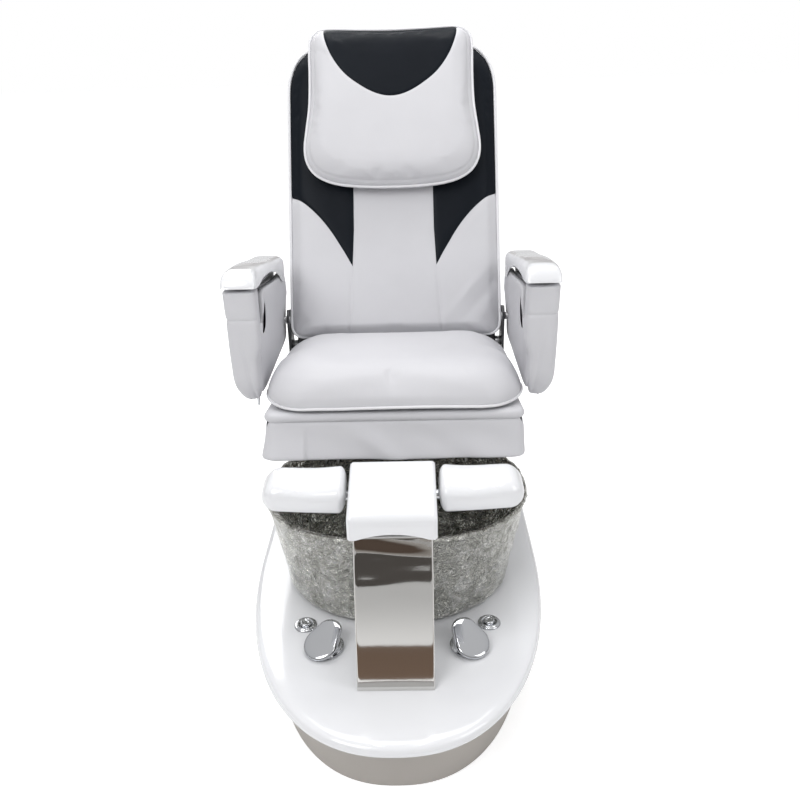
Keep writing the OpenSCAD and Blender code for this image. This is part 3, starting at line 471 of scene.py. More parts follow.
def softened(node, width, angle=35):
    """Rounds a CAD part's sharp edges and smooths its shading, without touching its mesh."""
    part = frame["nodes"][node]
    part.data.polygons.foreach_set("use_smooth", [True] * len(part.data.polygons))
    weld = part.modifiers.new("weld", "WELD")
    weld.merge_threshold = 0.00002
    round_off = part.modifiers.new("edges", "BEVEL")
    round_off.width = width
    round_off.segments = 2
    round_off.limit_method = "ANGLE"
    round_off.angle_limit = math.radians(angle)
    round_off.harden_normals = True
    return part


def finished(material, *nodes, width=0.0008, angle=35):
    """Gives CAD parts a finish in place of their plain colour."""
    for node in nodes:
        part = softened(node, width, angle)
        part.data.materials.clear()
        part.data.materials.append(material)


mirror_steel = hard_finish("mirror_steel", (0.70, 0.69, 0.67), (0.66, 0.65, 0.63), metal=1.0, rough=0.03,
                           smudge=0.03, wave=0.012, dusty=0.03)
plate_low, plate_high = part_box("front_plate")
column_lean = math.radians(17)
plate_half, plate_length, plate_deep, plate_bend = plate_high.x, 0.318, 0.024, 0.0030
plate_foot = Vector((0, plate_low.y, top))


def on_column(x, y, z):
    """A point of the leaning plate's frame, z up its slope."""
    return plate_foot + Vector((x, y * math.cos(column_lean) + z * math.sin(column_lean),
                                z * math.cos(column_lean) - y * math.sin(column_lean)))


section = [(-plate_half, plate_deep - 0.002 * k) for k in range(11)]
section += [(-plate_half + plate_bend * (1 - math.cos(math.pi / 2 * k / 6)), plate_bend * (1 - math.sin(math.pi / 2 * k / 6)))
            for k in range(7)]
section += [((plate_half - plate_bend) * (2 * k / 30 - 1), 0.0) for k in range(1, 30)]
section += [(-x, y) for x, y in reversed(section[:18])]
verts, faces = [], []
for j in range(41):
    for x, y in section:
        start = y * math.tan(column_lean) + 0.0006
        dent = 0.0011 * noise.noise(Vector((x * 9, j * 0.30, 2.0))) * max(0.0, j / 40 - 0.55) if y == 0.0 else 0.0
        verts.append(on_column(x, y + dent, start + (plate_length - start) * j / 40))
for j in range(40):
    for i in range(len(section) - 1):
        a = j * len(section) + i
        faces.append((a, a + 1, a + len(section) + 1, a + len(section)))
plate = mesh_piece("front_plate_sheet", verts, faces)
sheet_metal = plate.modifiers.new("sheet", "SOLIDIFY")
sheet_metal.thickness = 0.0016
sheet_metal.offset = -1
plate.data.materials.append(mirror_steel)
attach(plate, "base")
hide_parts("front_plate")

saddle_low, saddle_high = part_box("saddle")
saddle_front = saddle_low.y
saddle_path = [(0.000, 0.000), (0.000, 0.014), (0.000, 0.028), (0.0012, 0.0375), (0.0045, 0.0455), (0.0105, 0.0505),
               (0.020, 0.0530), (0.045, 0.0590), (0.080, 0.0670), (0.120, 0.0765), (0.150, 0.0835), (0.158, 0.0850),
               (0.1625, 0.0835), (0.164, 0.0800)]
saddle_under = [(0.013, 0.000), (0.013, 0.012), (0.0135, 0.022), (0.0155, 0.0300), (0.0195, 0.0350), (0.0250, 0.0375),
                (0.032, 0.0395), (0.052, 0.0445), (0.084, 0.0525), (0.122, 0.0620), (0.148, 0.0685), (0.157, 0.0705),
                (0.1615, 0.0715), (0.1635, 0.0745)]
rings = []
half = saddle_high.x
for k in range(41):
    x = half * (k / 20 - 1)
    near_end = max(0.0, (abs(x) - (half - 0.007)) / 0.007)
    pinch = 0.0055 * (1 - math.sqrt(max(0.0, 1 - near_end ** 2)))
    arch = max(0.0, 0.0125 - 0.210 + math.sqrt(max(0.0, 0.210 ** 2 - x * x)))
    ring = []
    for path, sign in ((saddle_path, 1), (list(reversed(saddle_under)), -1)):
        for i, (dy, dz) in enumerate(path):
            z = saddle_low.z + dz
            z = max(z, saddle_low.z + arch + (0.0 if dz > 0.001 else 0.0)) if dz < 0.026 else z
            slope = min(1.0, max(0.0, (dz - 0.03) / 0.02))
            ring.append((x, saddle_front + dy + pinch * sign * (1 - slope), z - pinch * sign * slope))
    rings.append(ring)
saddle = lofted("foot_saddle", rings)
rounding = saddle.modifiers.new("soft_edges", "BEVEL")
rounding.width = 0.003
rounding.segments = 3
rounding.limit_method = "ANGLE"
rounding.angle_limit = math.radians(55)
rounding.harden_normals = True
saddle.data.materials.append(gelcoat)
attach(saddle, "footrest")
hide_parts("saddle")


def foot_pad(name, node, body, side):
    """A moulded pad with a wavy top that dips in the middle and swells at its outer end."""
    low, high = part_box(node)
    inner = low.x if side > 0 else high.x
    length = high.x - low.x
    mid_y = (low.y + high.y) / 2
    rings = []
    for k in range(57):
        u = k / 56
        along = length * u
        end = min(u * length / 0.016, (1 - u) * length / 0.030, 1.0)
        swell = math.sqrt(max(0.0, 1 - (1 - end) ** 2))
        swell = max(swell, 0.02)
        half_y = 0.049 - 0.008 * u ** 2
        upper = 0.0335 - 0.0050 * u - 0.0040 * math.sin(math.pi * min(1.0, u / 0.62)) + 0.0035 * math.exp(-((u - 0.80) / 0.13) ** 2)
        lower = -0.0315 + 0.006 * u
        centre = low.z + 0.0315
        ring = []
        for i in range(48):
            a = 2 * math.pi * i / 48
            cy, cz = signed_power(math.cos(a), 0.62), signed_power(math.sin(a), 0.62)
            y = mid_y + half_y * cy * (0.35 + 0.65 * swell)
            z = centre + (upper if cz > 0 else -lower) * cz * swell + 0.17 * (y - mid_y) + 0.002
            ring.append((inner + side * along, y, z))
        if side < 0:
            ring.reverse()
        rings.append(ring)
    pad = lofted(name, rings)
    pad.data.materials.append(gelcoat)
    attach(pad, body)
    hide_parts(node)
    return pad


foot_pad("foot_pad_left", "wing_left", "left_wing", -1)
foot_pad("foot_pad_right", "wing_right", "right_wing", 1)

chrome = hard_finish("chrome_plate", (0.60, 0.61, 0.63), (0.53, 0.54, 0.56), metal=1.0, rough=0.045, smudge=0.05,
                     wave=0.02, dusty=0.05)
bright_steel = hard_finish("ground_steel", (0.52, 0.52, 0.53), (0.40, 0.40, 0.41), metal=1.0, rough=0.30, smudge=0.18,
                           wave=0.08, dusty=0.12)
frame_paint = hard_finish("satin_black_paint", (0.042, 0.042, 0.046), (0.030, 0.030, 0.033), rough=0.38, smudge=0.15,
                          wave=0.08, dusty=0.12)
finished(chrome, "cross_tube")
finished(bright_steel, "column_inner")
finished(frame_paint, "column_outer")

# ---- Mixer handles and push buttons ----
# Two chromed lever handles work the hot and cold valves below the deck. Two air buttons in
# flanged chromed rings switch the jet and the drain pump.


def turned(name, profile, centre, count=72):
    """A body turned about an upright axis from radius and height pairs."""
    rings = [[(centre[0] + r * math.cos(2 * math.pi * k / count), centre[1] + r * math.sin(2 * math.pi * k / count), z)
              for k in range(count)] for r, z in profile]
    return lofted(name, rings)


def lever_handle(side_name, node, side, turn, pivot):
    rose = turned("handle_rose_" + side_name, [
        (0.0100, top - 0.060), (0.0108, top - 0.058), (0.0108, top + 0.0010), (0.0385, top + 0.0006), (0.0395, top + 0.0012),
        (0.0397, top + 0.0035), (0.0390, top + 0.0060), (0.0375, top + 0.0072), (0.0358, top + 0.0076), (0.0350, top + 0.0082),
        (0.0350, top + 0.0105), (0.0340, top + 0.0125), (0.0322, top + 0.0134), (0.0290, top + 0.0138), (0.0245, top + 0.0150),
        (0.0225, top + 0.0190), (0.0200, top + 0.0215), (0.012, top + 0.0225),
    ], pivot)
    spin = Matrix.Rotation(math.radians(turn), 4, "Z")
    tilt = Matrix.Rotation(math.radians(24), 4, "X")
    rings = []
    for shrink, z in ((0.0090, -0.0052), (0.0040, -0.0050), (0.0012, -0.0036), (0.0, -0.0012), (0.0, 0.0018),
                      (0.0010, 0.0040), (0.0032, 0.0056), (0.0070, 0.0064), (0.0140, 0.0070), (0.0200, 0.0072)):
        ring = []
        for k in range(96):
            a = 2 * math.pi * k / 96
            big, small, reach = 0.0385 - shrink, 0.0290 - shrink, 0.0300
            sweep = math.asin((big - small) / reach)
            c, s = math.cos(a), math.sin(a)
            if s > math.sin(sweep) - 0.0:
                x, y = small * c, reach * 0.5 + small * s
            else:
                x, y = big * c, -reach * 0.5 + big * s
            ring.append((x, y, z))
        rings.append(ring)
    paddle = lofted("handle_paddle_" + side_name, rings)
    paddle.data.transform(Matrix.Translation((pivot[0], pivot[1], top + 0.0255)) @ spin @ tilt)
    for piece in (rose, paddle):
        crease = piece.modifiers.new("fine_edges", "BEVEL")
        crease.width = 0.0004
        crease.limit_method = "ANGLE"
        crease.angle_limit = math.radians(40)
        piece.data.materials.append(chrome)
        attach(piece, side_name + "_handle")
    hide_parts(node)


joints = {joint["name"]: joint for joint in frame["joints"]}
lever_handle("left", "handle_left", -1, -32, joints["left_handle_turn"]["pos_m"])
lever_handle("right", "handle_right", 1, 28, joints["right_handle_turn"]["pos_m"])

for side_name in ("left", "right"):
    low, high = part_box("button_" + side_name)
    spot = ((low.x + high.x) / 2, (low.y + high.y) / 2)
    ring_piece = turned("button_flange_" + side_name, [
        (0.0128, top - 0.040), (0.0158, top - 0.040), (0.0158, top + 0.0002), (0.0245, top + 0.0002), (0.0250, top + 0.0010),
        (0.0249, top + 0.0022), (0.0238, top + 0.0036), (0.0222, top + 0.0042), (0.0208, top + 0.0040), (0.0200, top + 0.0046),
        (0.0190, top + 0.0058), (0.0174, top + 0.0062), (0.0158, top + 0.0056), (0.0150, top + 0.0044), (0.0129, top + 0.0040),
        (0.0128, top + 0.0030), (0.0128, top - 0.038),
    ], spot)
    push = turned("button_cap_" + side_name, [
        (0.0119, top - 0.030), (0.0120, top - 0.029), (0.0120, top + 0.0070), (0.0116, top + 0.0086), (0.0106, top + 0.0098),
        (0.0088, top + 0.0104), (0.0070, top + 0.0100), (0.0058, top + 0.0094), (0.0030, top + 0.0092), (0.0010, top + 0.0091),
    ], spot)
    for piece, body in ((ring_piece, "base"), (push, side_name + "_button")):
        piece.data.materials.append(chrome)
        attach(piece, body)
    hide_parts("button_rings")
    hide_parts("button_" + side_name)

# ---- Seat cushion ----
# Moulded foam over a plywood pan, in soft white vinyl leather. It has a deep front roll, and white
# piping along the lower seam that is sewn round the front and both sides.
seat_tilt = math.radians(9)
seat_origin = Vector((0, 0.548 - 0.745823, 0.600))
seat_low, seat_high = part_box("seat_cushion")
seat_half = seat_high.x


def on_seat(x, y, z):
    """A point of the tilted seat's own frame, y back and z up from its front lower edge."""
    return seat_origin + Vector((x, y * math.cos(seat_tilt) + z * math.sin(seat_tilt),
                                 z * math.cos(seat_tilt) - y * math.sin(seat_tilt)))


def cover_shape(name, outline, centre, layers, place):
    """A closed body: one outline scaled about its centre, layer after layer."""
    rings = []
    for scale, depth in layers:
        rings.append([place(centre[0] + (u - centre[0]) * scale, centre[1] + (v - centre[1]) * scale, depth)
                      for u, v in outline])
    return lofted(name, rings)


def baked(piece):
    """Applies a piece's modifiers to its mesh."""
    bpy.context.view_layer.update()
    solid = bpy.data.meshes.new_from_object(piece.evaluated_get(bpy.context.evaluated_depsgraph_get()))
    piece.modifiers.clear()
    piece.data = solid
    solid.polygons.foreach_set("use_smooth", [True] * len(solid.polygons))
    return piece


def coordinates(piece):
    out = np.empty(len(piece.data.vertices) * 3)
    piece.data.vertices.foreach_get("co", out)
    return out.reshape(-1, 3)


def move_to(piece, points):
    piece.data.vertices.foreach_set("co", np.asarray(points, float).ravel())
    piece.data.update()


def stuffed(piece, voxel, pressure, cap, hold=None, frames=16):
    """Swells a closed cover as its filling would, by cloth simulation, and stops each point at cap.

    hold gives, for every start point, how free it is to move: 0 is held, 1 is free."""
    skin = piece.modifiers.new("skin", "REMESH")
    skin.mode = "VOXEL"
    skin.voxel_size = voxel
    baked(piece)
    start = coordinates(piece)
    cloth = piece.modifiers.new("filling", "CLOTH")
    cloth.settings.quality = 4
    cloth.settings.mass = 0.3
    cloth.settings.use_pressure = True
    cloth.settings.uniform_pressure_force = pressure
    cloth.settings.effector_weights.gravity = 0
    cloth.settings.tension_stiffness = 12
    cloth.settings.compression_stiffness = 8
    cloth.settings.bending_stiffness = 1.2
    cloth.collision_settings.use_collision = False
    cloth.point_cache.frame_end = frames
    for step in range(1, frames + 1):
        bpy.context.scene.frame_set(step)
    swollen = piece.evaluated_get(bpy.context.evaluated_depsgraph_get()).data
    end = np.empty(len(swollen.vertices) * 3)
    swollen.vertices.foreach_get("co", end)
    end = end.reshape(-1, 3)
    piece.modifiers.clear()
    bpy.context.scene.frame_set(1)
    push = end - start
    push -= push.mean(0)
    size = np.linalg.norm(push, axis=1, keepdims=True)
    push *= np.minimum(1.0, cap / np.maximum(size, 1e-9))
    if hold is not None:
        push *= hold(start)[:, None]
    move_to(piece, start + push)
    ease = piece.modifiers.new("ease", "SMOOTH")
    ease.factor = 0.5
    ease.iterations = 6
    fine = piece.modifiers.new("fine", "SUBSURF")
    fine.levels = fine.render_levels = 1
    return baked(piece)


def normals(piece):
    out = np.empty(len(piece.data.vertices) * 3)
    piece.data.vertices.foreach_get("normal", out)
    return out.reshape(-1, 3)


def creased(piece, amount, scale, seed):
    """Gives a cover the slight hollows and folds of loose leather."""
    points, out = coordinates(piece), normals(piece)
    shift = np.array([noise.noise(Vector(p) * scale + Vector((seed, 0, 0))) for p in points]) * amount
    move_to(piece, points + out * shift[:, None])


def surface(piece):
    """A tree for finding the nearest point of a piece's surface."""
    return BVHTree.FromPolygons([v.co for v in piece.data.vertices], [p.vertices for p in piece.data.polygons])


def cord_tube(name, points, radius, closed=False, count=10):
    """A round bead along points, with its ends closed if it has any."""
    points = [Vector(p) for p in points]
    rings = []
    last = len(points) - 1
    side = None
    for i, p in enumerate(points):
        ahead = points[(i + 1) % len(points)] if closed or i < last else p
        behind = points[i - 1] if closed or i > 0 else p
        along = (ahead - behind).normalized()
        if side is None:
            side = along.orthogonal().normalized()
        side = (side - along * side.dot(along)).normalized()
        over = along.cross(side)
        rings.append([p + radius * (math.cos(2 * math.pi * k / count) * side + math.sin(2 * math.pi * k / count) * over)
                      for k in range(count)])
    if closed:
        rings.append(rings[0])
    tube = lofted(name, rings, close_ends=not closed)
    if closed:
        join = tube.modifiers.new("join", "WELD")
        join.merge_threshold = 0.00001
        baked(tube)
    return tube


def evened(points, step, closed=False):
    """Points spaced evenly along a polyline."""
    path = [Vector(p) for p in points] + ([Vector(points[0])] if closed else [])
    lengths = [0.0]
    for a, b in zip(path, path[1:]):
        lengths.append(lengths[-1] + (b - a).length)
    count = max(2, round(lengths[-1] / step))
    out = []
    i = 0
    for k in range(count if closed else count + 1):
        want = lengths[-1] * k / count
        while i < len(lengths) - 2 and lengths[i + 1] < want:
            i += 1
        part = (want - lengths[i]) / max(1e-9, lengths[i + 1] - lengths[i])
        out.append(path[i].lerp(path[i + 1], part))
    return out


def laid_on(tree, points, lift, reach=0.05, passes=3):
    """Points drawn onto a surface, lifted a little off it and smoothed."""
    out = []
    for p in points:
        spot, normal, _, _ = tree.find_nearest(p, reach)
        out.append(p if spot is None else spot + normal * lift)
    for _ in range(passes):
        out = [out[0]] + [(a + b * 2 + c) / 4 for a, b, c in zip(out, out[1:], out[2:])] + [out[-1]]
    return out


# Leather: pebble grain, pores and slow tone change
grain, given, taken = effect_group("leather_grain", {"Pebble": 1.0, "Crease": 0.5},
                                   {"Height": "NodeSocketFloat", "Tone": "NodeSocketFloat"})
pebbles = add(grain, "ShaderNodeTexVoronoi", {"Vector": given["Vector"], "Scale": 620.0}).outputs["Distance"]
pores = noise_height(grain, given["Vector"], 900.0, 2.0, 0.5)
folds = noise_height(grain, given["Vector"], 11.0, 5.0, 0.55)
high = math_node(grain, "MULTIPLY_ADD", pebbles, given["Pebble"], pores)
grain.links.new(math_node(grain, "MULTIPLY_ADD", folds, math_node(grain, "MULTIPLY", given["Crease"], 6.0), high),
                taken["Height"])
grain.links.new(math_node(grain, "MULTIPLY_ADD", noise_height(grain, given["Vector"], 5.0, 4.0, 0.6), 0.7,
                          math_node(grain, "MULTIPLY", folds, 0.3)), taken["Tone"])

white_low, white_high = (0.545, 0.543, 0.566), (0.625, 0.623, 0.646)
black_low, black_high = (0.0035, 0.0050, 0.0075), (0.0080, 0.0105, 0.0155)


def leather(name, low, high, rough, pebble=1.0, crease=0.4, panel=None):
    """Fine-grained vinyl leather; panel names an attribute that is above zero on the second colour."""
    made, tree, shader = new_material(name)
    where = object_vector(tree)
    skin = placed(tree, grain, {"Vector": where, "Pebble": pebble, "Crease": crease})
    tone = tinted(tree, skin["Tone"], low, high)
    if panel:
        side = add(tree, "ShaderNodeAttribute", attribute_name=panel).outputs["Fac"]
        second = tinted(tree, skin["Tone"], black_low, black_high)
        mask = add(tree, "ShaderNodeMapRange", {"Value": side, "From Min": -0.0003, "From Max": 0.0003}).outputs["Result"]
        tone = tinted(tree, mask, tone, second)
    tree.links.new(tone, shader.inputs["Base Color"])
    tree.links.new(math_node(tree, "MULTIPLY_ADD", skin["Tone"], 0.12, rough), shader.inputs["Roughness"])
    shader.inputs["Specular IOR Level"].default_value = 0.09
    bumped(tree, shader, skin["Height"], 0.22, 0.0006)
    return made


white_leather = leather("white_leather", white_low, white_high, 0.36)
# Piping: the cover's white vinyl painted lighter, as a painted highlight along the round cord
piping_painted_highlight_leather = leather("piping_painted_highlight_leather", (0.70, 0.70, 0.72), (0.76, 0.76, 0.78), 0.34, pebble=0.6, crease=0.1)

depth = 0.428
front_outline = []
corner_x, corner_y, seat_side = 0.105, 0.146, seat_half + 0.001
for k in range(17):
    a = math.pi * (1 + k / 32)
    front_outline.append((-seat_side + corner_x + corner_x * math.cos(a),
                          0.003 + corner_y + corner_y * math.sin(a)))
front_outline += [((seat_side - corner_x) * (2 * k / 16 - 1), 0.003) for k in range(1, 16)]
front_outline += [(-x, y) for x, y in reversed(front_outline[:17])]
seat_outline = front_outline + [(seat_half - 0.004, 0.18 + 0.06 * k) for k in range(4)] \
    + [(seat_half - 0.010, depth - 0.012), (seat_half - 0.026, depth - 0.003)] \
    + [((seat_half - 0.04) * (1 - k / 6), depth - 0.003) for k in range(13)] \
    + [(-seat_half + 0.026, depth - 0.003), (-seat_half + 0.010, depth - 0.012)] \
    + [(-seat_half + 0.004, 0.36 - 0.06 * k) for k in range(4)]
seat_rings = []
for inset, z in ((0.030, 0.0050), (0.012, 0.0052), (0.004, 0.0068), (0.0, 0.0105), (0.0000, 0.018), (0.0005, 0.030),
                 (0.0040, 0.044), (0.011, 0.057), (0.023, 0.0690), (0.040, 0.0790), (0.064, 0.0868), (0.100, 0.0920), (0.150, 0.0940)):
    ring = []
    for x, y in seat_outline:
        sx = max(0.0, 1 - inset / seat_half)
        toward_rear = min(1.0, max(0.0, (y - 0.10) / (depth - 0.10)))
        sy = y + inset * (1 - toward_rear) - inset * 0.06 * toward_rear + 0.010 * toward_rear
        ring.append(on_seat(x * sx, sy, z * (1 + 0.02 * toward_rear) + 0.006 * min(1.0, max(0.0, y - 0.02) / 0.12)))
    seat_rings.append(ring)
seat = lofted("seat_cushion_cover", seat_rings)


def seat_local(points):
    """Rows of points as x, y and z of the seat's own frame."""
    p = points - np.array(seat_origin)
    c, s = math.cos(seat_tilt), math.sin(seat_tilt)
    return np.stack([p[:, 0], p[:, 1] * c - p[:, 2] * s, p[:, 1] * s + p[:, 2] * c], 1)


def seat_hold(points):
    """The lower seam and the base stay where they are sewn; the crown is free."""
    z = seat_local(points)[:, 2]
    return np.clip((z - 0.034) / 0.03, 0.0, 1.0)


stuffed(seat, 0.0055, 4.5, 0.012, seat_hold)
creased(seat, 0.0016, 7.0, 3.1)
seat.data.materials.append(white_leather)
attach(seat, "carriage")
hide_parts("seat_cushion")

seat_tree = surface(seat)
seam = [on_seat(x * 1.004, y - 0.0022 if y < 0.08 else y, 0.0085 + 0.0022 * math.sin(x * 9 + 1.1) + 0.016 * min(1.0, max(0.0, y - 0.01) / 0.13))
        for x, y in seat_outline[:53]]
seam = [on_seat(-seat_half + 0.004, 0.36 - 0.06 * k, 0.0250) for k in range(4)] + seam
seat_piping = cord_tube("seat_piping", laid_on(seat_tree, evened(seam, 0.006), 0.0016), 0.0036)
seat_piping.data.materials.append(piping_painted_highlight_leather)
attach(seat_piping, "carriage")

# ---- Seat valance ----
# A leather-covered box skirt stapled to the pan. Its upper edge is folded into a lip under the
# cushion, and its lower edge flares a little and hangs in slight folds.
apron_low, apron_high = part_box("seat_apron")
apron_plan = []
half = seat_half - 0.008
for k in range(7):
    apron_plan.append((-half, 0.395 - 0.052 * k))
for k in range(9):
    a = math.pi * (1 + k / 16)
    apron_plan.append((-half + 0.024 + 0.024 * math.cos(a), 0.034 + 0.024 * math.sin(a) * 1.0))
for k in range(1, 40):
    apron_plan.append((-half + 0.024 + (2 * half - 0.048) * k / 40, 0.010))
for k in range(9):
    a = math.pi * (1.5 + k / 16)
    apron_plan.append((half - 0.024 + 0.024 * math.cos(a), 0.034 + 0.024 * math.sin(a)))
for k in range(7):
    apron_plan.append((half, 0.395 - 0.052 * (6 - k)))
plan = evened([Vector((x, y, 0)) for x, y in apron_plan], 0.006)
levels = [(-0.0004, -0.060), (-0.0002, -0.030), (0.0000, -0.014), (-0.0004, -0.005), (-0.0026, 0.0006), (-0.0060, 0.0040), (-0.0110, 0.0052), (-0.0160, 0.0046),
          (-0.0195, 0.0020), (-0.0215, -0.0015), (-0.0235, -0.0020), (-0.0260, 0.0008), (-0.0330, 0.0018), (-0.0450, 0.0030),
          (-0.0600, 0.0048), (-0.0750, 0.0070), (-0.0900, 0.0094), (-0.1010, 0.0108), (-0.1075, 0.0106), (-0.1100, 0.0080),
          (-0.1108, 0.0040), (-0.1100, 0.0000), (-0.1060, -0.0012), (-0.0900, -0.0020), (-0.0600, -0.0030), (-0.0300, -0.0060)]
verts, faces = [], []
for j, (z, out) in enumerate(levels):
    for i, p in enumerate(plan):
        ahead = plan[min(i + 1, len(plan) - 1)] - plan[max(i - 1, 0)]
        away = Vector((ahead.y, -ahead.x, 0)).normalized()
        fold = noise.noise(Vector((p.x * 6.5 + z * 9, p.y * 6.5, z * 6 + 4))) * 0.0055
        fold += 0.0040 * math.exp(-((p.x + 0.055 + (z + 0.06) * 1.1) / 0.030) ** 2) * (1 if p.y < 0.02 else 0)
        fold -= 0.0032 * math.exp(-((p.x - 0.085 + (z + 0.06) * 1.4) / 0.040) ** 2) * (1 if p.y < 0.02 else 0)
        hang = min(1.0, max(0.0, (-z - 0.028) / 0.03)) if j < 21 else 0.3
        q = p + away * (out + fold * hang * 1.5 + (0.11 * max(0.0, -z - 0.03) if p.x < -0.2 and j < 19 else 0.0) - 0.002)
        dip = 0.0022 * noise.noise(Vector((p.x * 4, p.y * 4, 1.0))) * (1 if z < -0.1 else 0)
        verts.append(on_seat(q.x, q.y, z + dip))
across_count = len(plan)
for j in range(len(levels) - 1):
    for i in range(across_count - 1):
        a = j * across_count + i
        faces.append((a, a + across_count, a + across_count + 1, a + 1))
valance = mesh_piece("seat_valance", verts, faces)
thick = valance.modifiers.new("thickness", "SOLIDIFY")
thick.thickness = 0.0014
thick.offset = 0
fine = valance.modifiers.new("fine", "SUBSURF")
fine.levels = fine.render_levels = 1
baked(valance)
valance.data.materials.append(white_leather)
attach(valance, "carriage")
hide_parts("seat_apron")

# ---- Back cushion ----
# Foam back in white vinyl leather with blue-black shoulder panels that sweep down to a point at
# each side of the centre panel. Its cover is piped all round and zipped over the back frame.
hinge = Vector(joints["back_recline"]["pos_m"])
back_lean = math.radians(26)


def on_back(x, y, z):
    """A point of the leaning back's own frame, y towards its rear and z up along it."""
    return hinge + Vector((x, y * math.cos(back_lean) + z * math.sin(back_lean),
                           z * math.cos(back_lean) - y * math.sin(back_lean)))


def back_local(points):
    """Rows of points as x, y and z of the back's own frame."""
    p = points - np.array(hinge)
    c, s = math.cos(back_lean), math.sin(back_lean)
    return np.stack([p[:, 0], p[:, 1] * c - p[:, 2] * s, p[:, 1] * s + p[:, 2] * c], 1)


def spline(points, parts=12, closed=False):
    """A smooth curve through the points."""
    pts = [Vector(p) for p in points]
    n = len(pts)
    out = []
    for i in range(n if closed else n - 1):
        p0 = pts[(i - 1) % n] if closed or i > 0 else pts[0]
        p1, p2 = pts[i], pts[(i + 1) % n]
        p3 = pts[(i + 2) % n] if closed or i + 2 < n else pts[-1]
        for k in range(parts):
            t = k / parts
            out.append(0.5 * ((2 * p1) + (p2 - p0) * t + (2 * p0 - 5 * p1 + 4 * p2 - p3) * t * t
                              + (3 * p1 - p0 - 3 * p2 + p3) * t ** 3))
    return out if closed else out + [pts[-1]]


back_half, back_foot, back_top = 0.284, 0.014, 0.814
back_outline = []
for k in range(25):
    a = math.pi / 2 * k / 24
    back_outline.append((back_half - 0.085 * (1 - math.cos(a) ** 0.9), back_top - 0.125 * (1 - math.sin(a) ** 0.95)))
back_outline += [((back_half - 0.085) * (1 - 2 * k / 16), back_top) for k in range(1, 16)]
for k in range(25):
    a = math.pi / 2 * (1 - k / 24)
    back_outline.append((-back_half + 0.085 * (1 - math.cos(a) ** 0.9), back_top - 0.125 * (1 - math.sin(a) ** 0.95)))
back_outline += [(-back_half, back_top - 0.125 + (back_foot + 0.030 - back_top + 0.125) * k / 24) for k in range(1, 24)]
for k in range(9):
    a = math.pi * (1 + k / 16)
    back_outline.append((-back_half + 0.030 + 0.030 * math.cos(a), back_foot + 0.030 + 0.030 * math.sin(a)))
back_outline += [((back_half - 0.030) * (2 * k / 16 - 1), back_foot) for k in range(1, 16)]
for k in range(9):
    a = math.pi * (1.5 + k / 16)
    back_outline.append((back_half - 0.030 + 0.030 * math.cos(a), back_foot + 0.030 + 0.030 * math.sin(a)))
back_outline += [(back_half, back_foot + 0.030 + (back_top - 0.125 - back_foot - 0.030) * k / 24) for k in range(1, 24)]


def inset_outline(outline, inset):
    """The outline moved inwards along its own normals."""
    out = []
    n = len(outline)
    for i, (u, v) in enumerate(outline):
        du, dv = outline[(i + 1) % n][0] - outline[i - 1][0], outline[(i + 1) % n][1] - outline[i - 1][1]
        size = math.hypot(du, dv)
        out.append((u - dv / size * inset, v + du / size * inset))
    return out


def turning(outline):
    """Area of the outline with a sign for which way round it goes."""
    return sum(a[0] * b[1] - b[0] * a[1] for a, b in zip(outline, outline[1:] + outline[:1])) / 2


def padded_shape(name, outline, layers, place, foot=1.0):
    """A closed body from one outline inset by a different amount at each depth, foot times as much at its lower edge."""
    way = 1 if turning(outline) > 0 else -1
    low = min(v for u, v in outline)
    rings = []
    for inset, depth in layers:
        ring = []
        for (u, v), (u0, v0) in zip(inset_outline(outline, inset * way), outline):
            drop = max(0.0, 1 - (v0 - low) / 0.03) * (1 - foot) * (v - v0)
            ring.append(place(u, depth, v - drop))
        rings.append(ring)
    return lofted(name, rings)


back = padded_shape("back_cushion_cover", back_outline, [
    (0.012, -0.0135), (0.004, -0.0140), (0.0, -0.0180), (0.0, -0.0300), (0.0, -0.0400), (0.0015, -0.0455), (0.0040, -0.0490),
    (0.0100, -0.0535), (0.0200, -0.0580), (0.0330, -0.0615), (0.0480, -0.0635), (0.0700, -0.0650), (0.1000, -0.0655),
], on_back, foot=0.15)


def back_hold(points):
    """The piped edge and the rear are held; the front face swells freely."""
    y = back_local(points)[:, 1]
    return np.clip((-y - 0.046) / 0.012, 0.0, 1.0)


stuffed(back, 0.0060, 4.0, 0.010, back_hold)


def side_of(points, polygon):
    """Distance of each x, z row to a polygon's edge, above zero inside it."""
    polygon = np.array(polygon)
    nearest = np.full(len(points), 1e9)
    inside = np.zeros(len(points), bool)
    for a, b in zip(polygon, np.roll(polygon, -1, 0)):
        span = b - a
        t = np.clip(((points - a) @ span) / (span @ span), 0, 1)
        nearest = np.minimum(nearest, np.linalg.norm(points - (a + t[:, None] * span), axis=1))
        crosses = (a[1] > points[:, 1]) != (b[1] > points[:, 1])
        level = a[0] + (points[:, 1] - a[1]) / (span[1] if span[1] else 1e-9) * span[0]
        inside ^= crosses & (points[:, 0] < level)
    return np.where(inside, nearest, -nearest)


def marked(piece, name, values):
    """Keeps one number per point, for a material to read."""
    piece.data.attributes.new(name, "FLOAT", "POINT").data.foreach_set("value", np.asarray(values, np.float32))


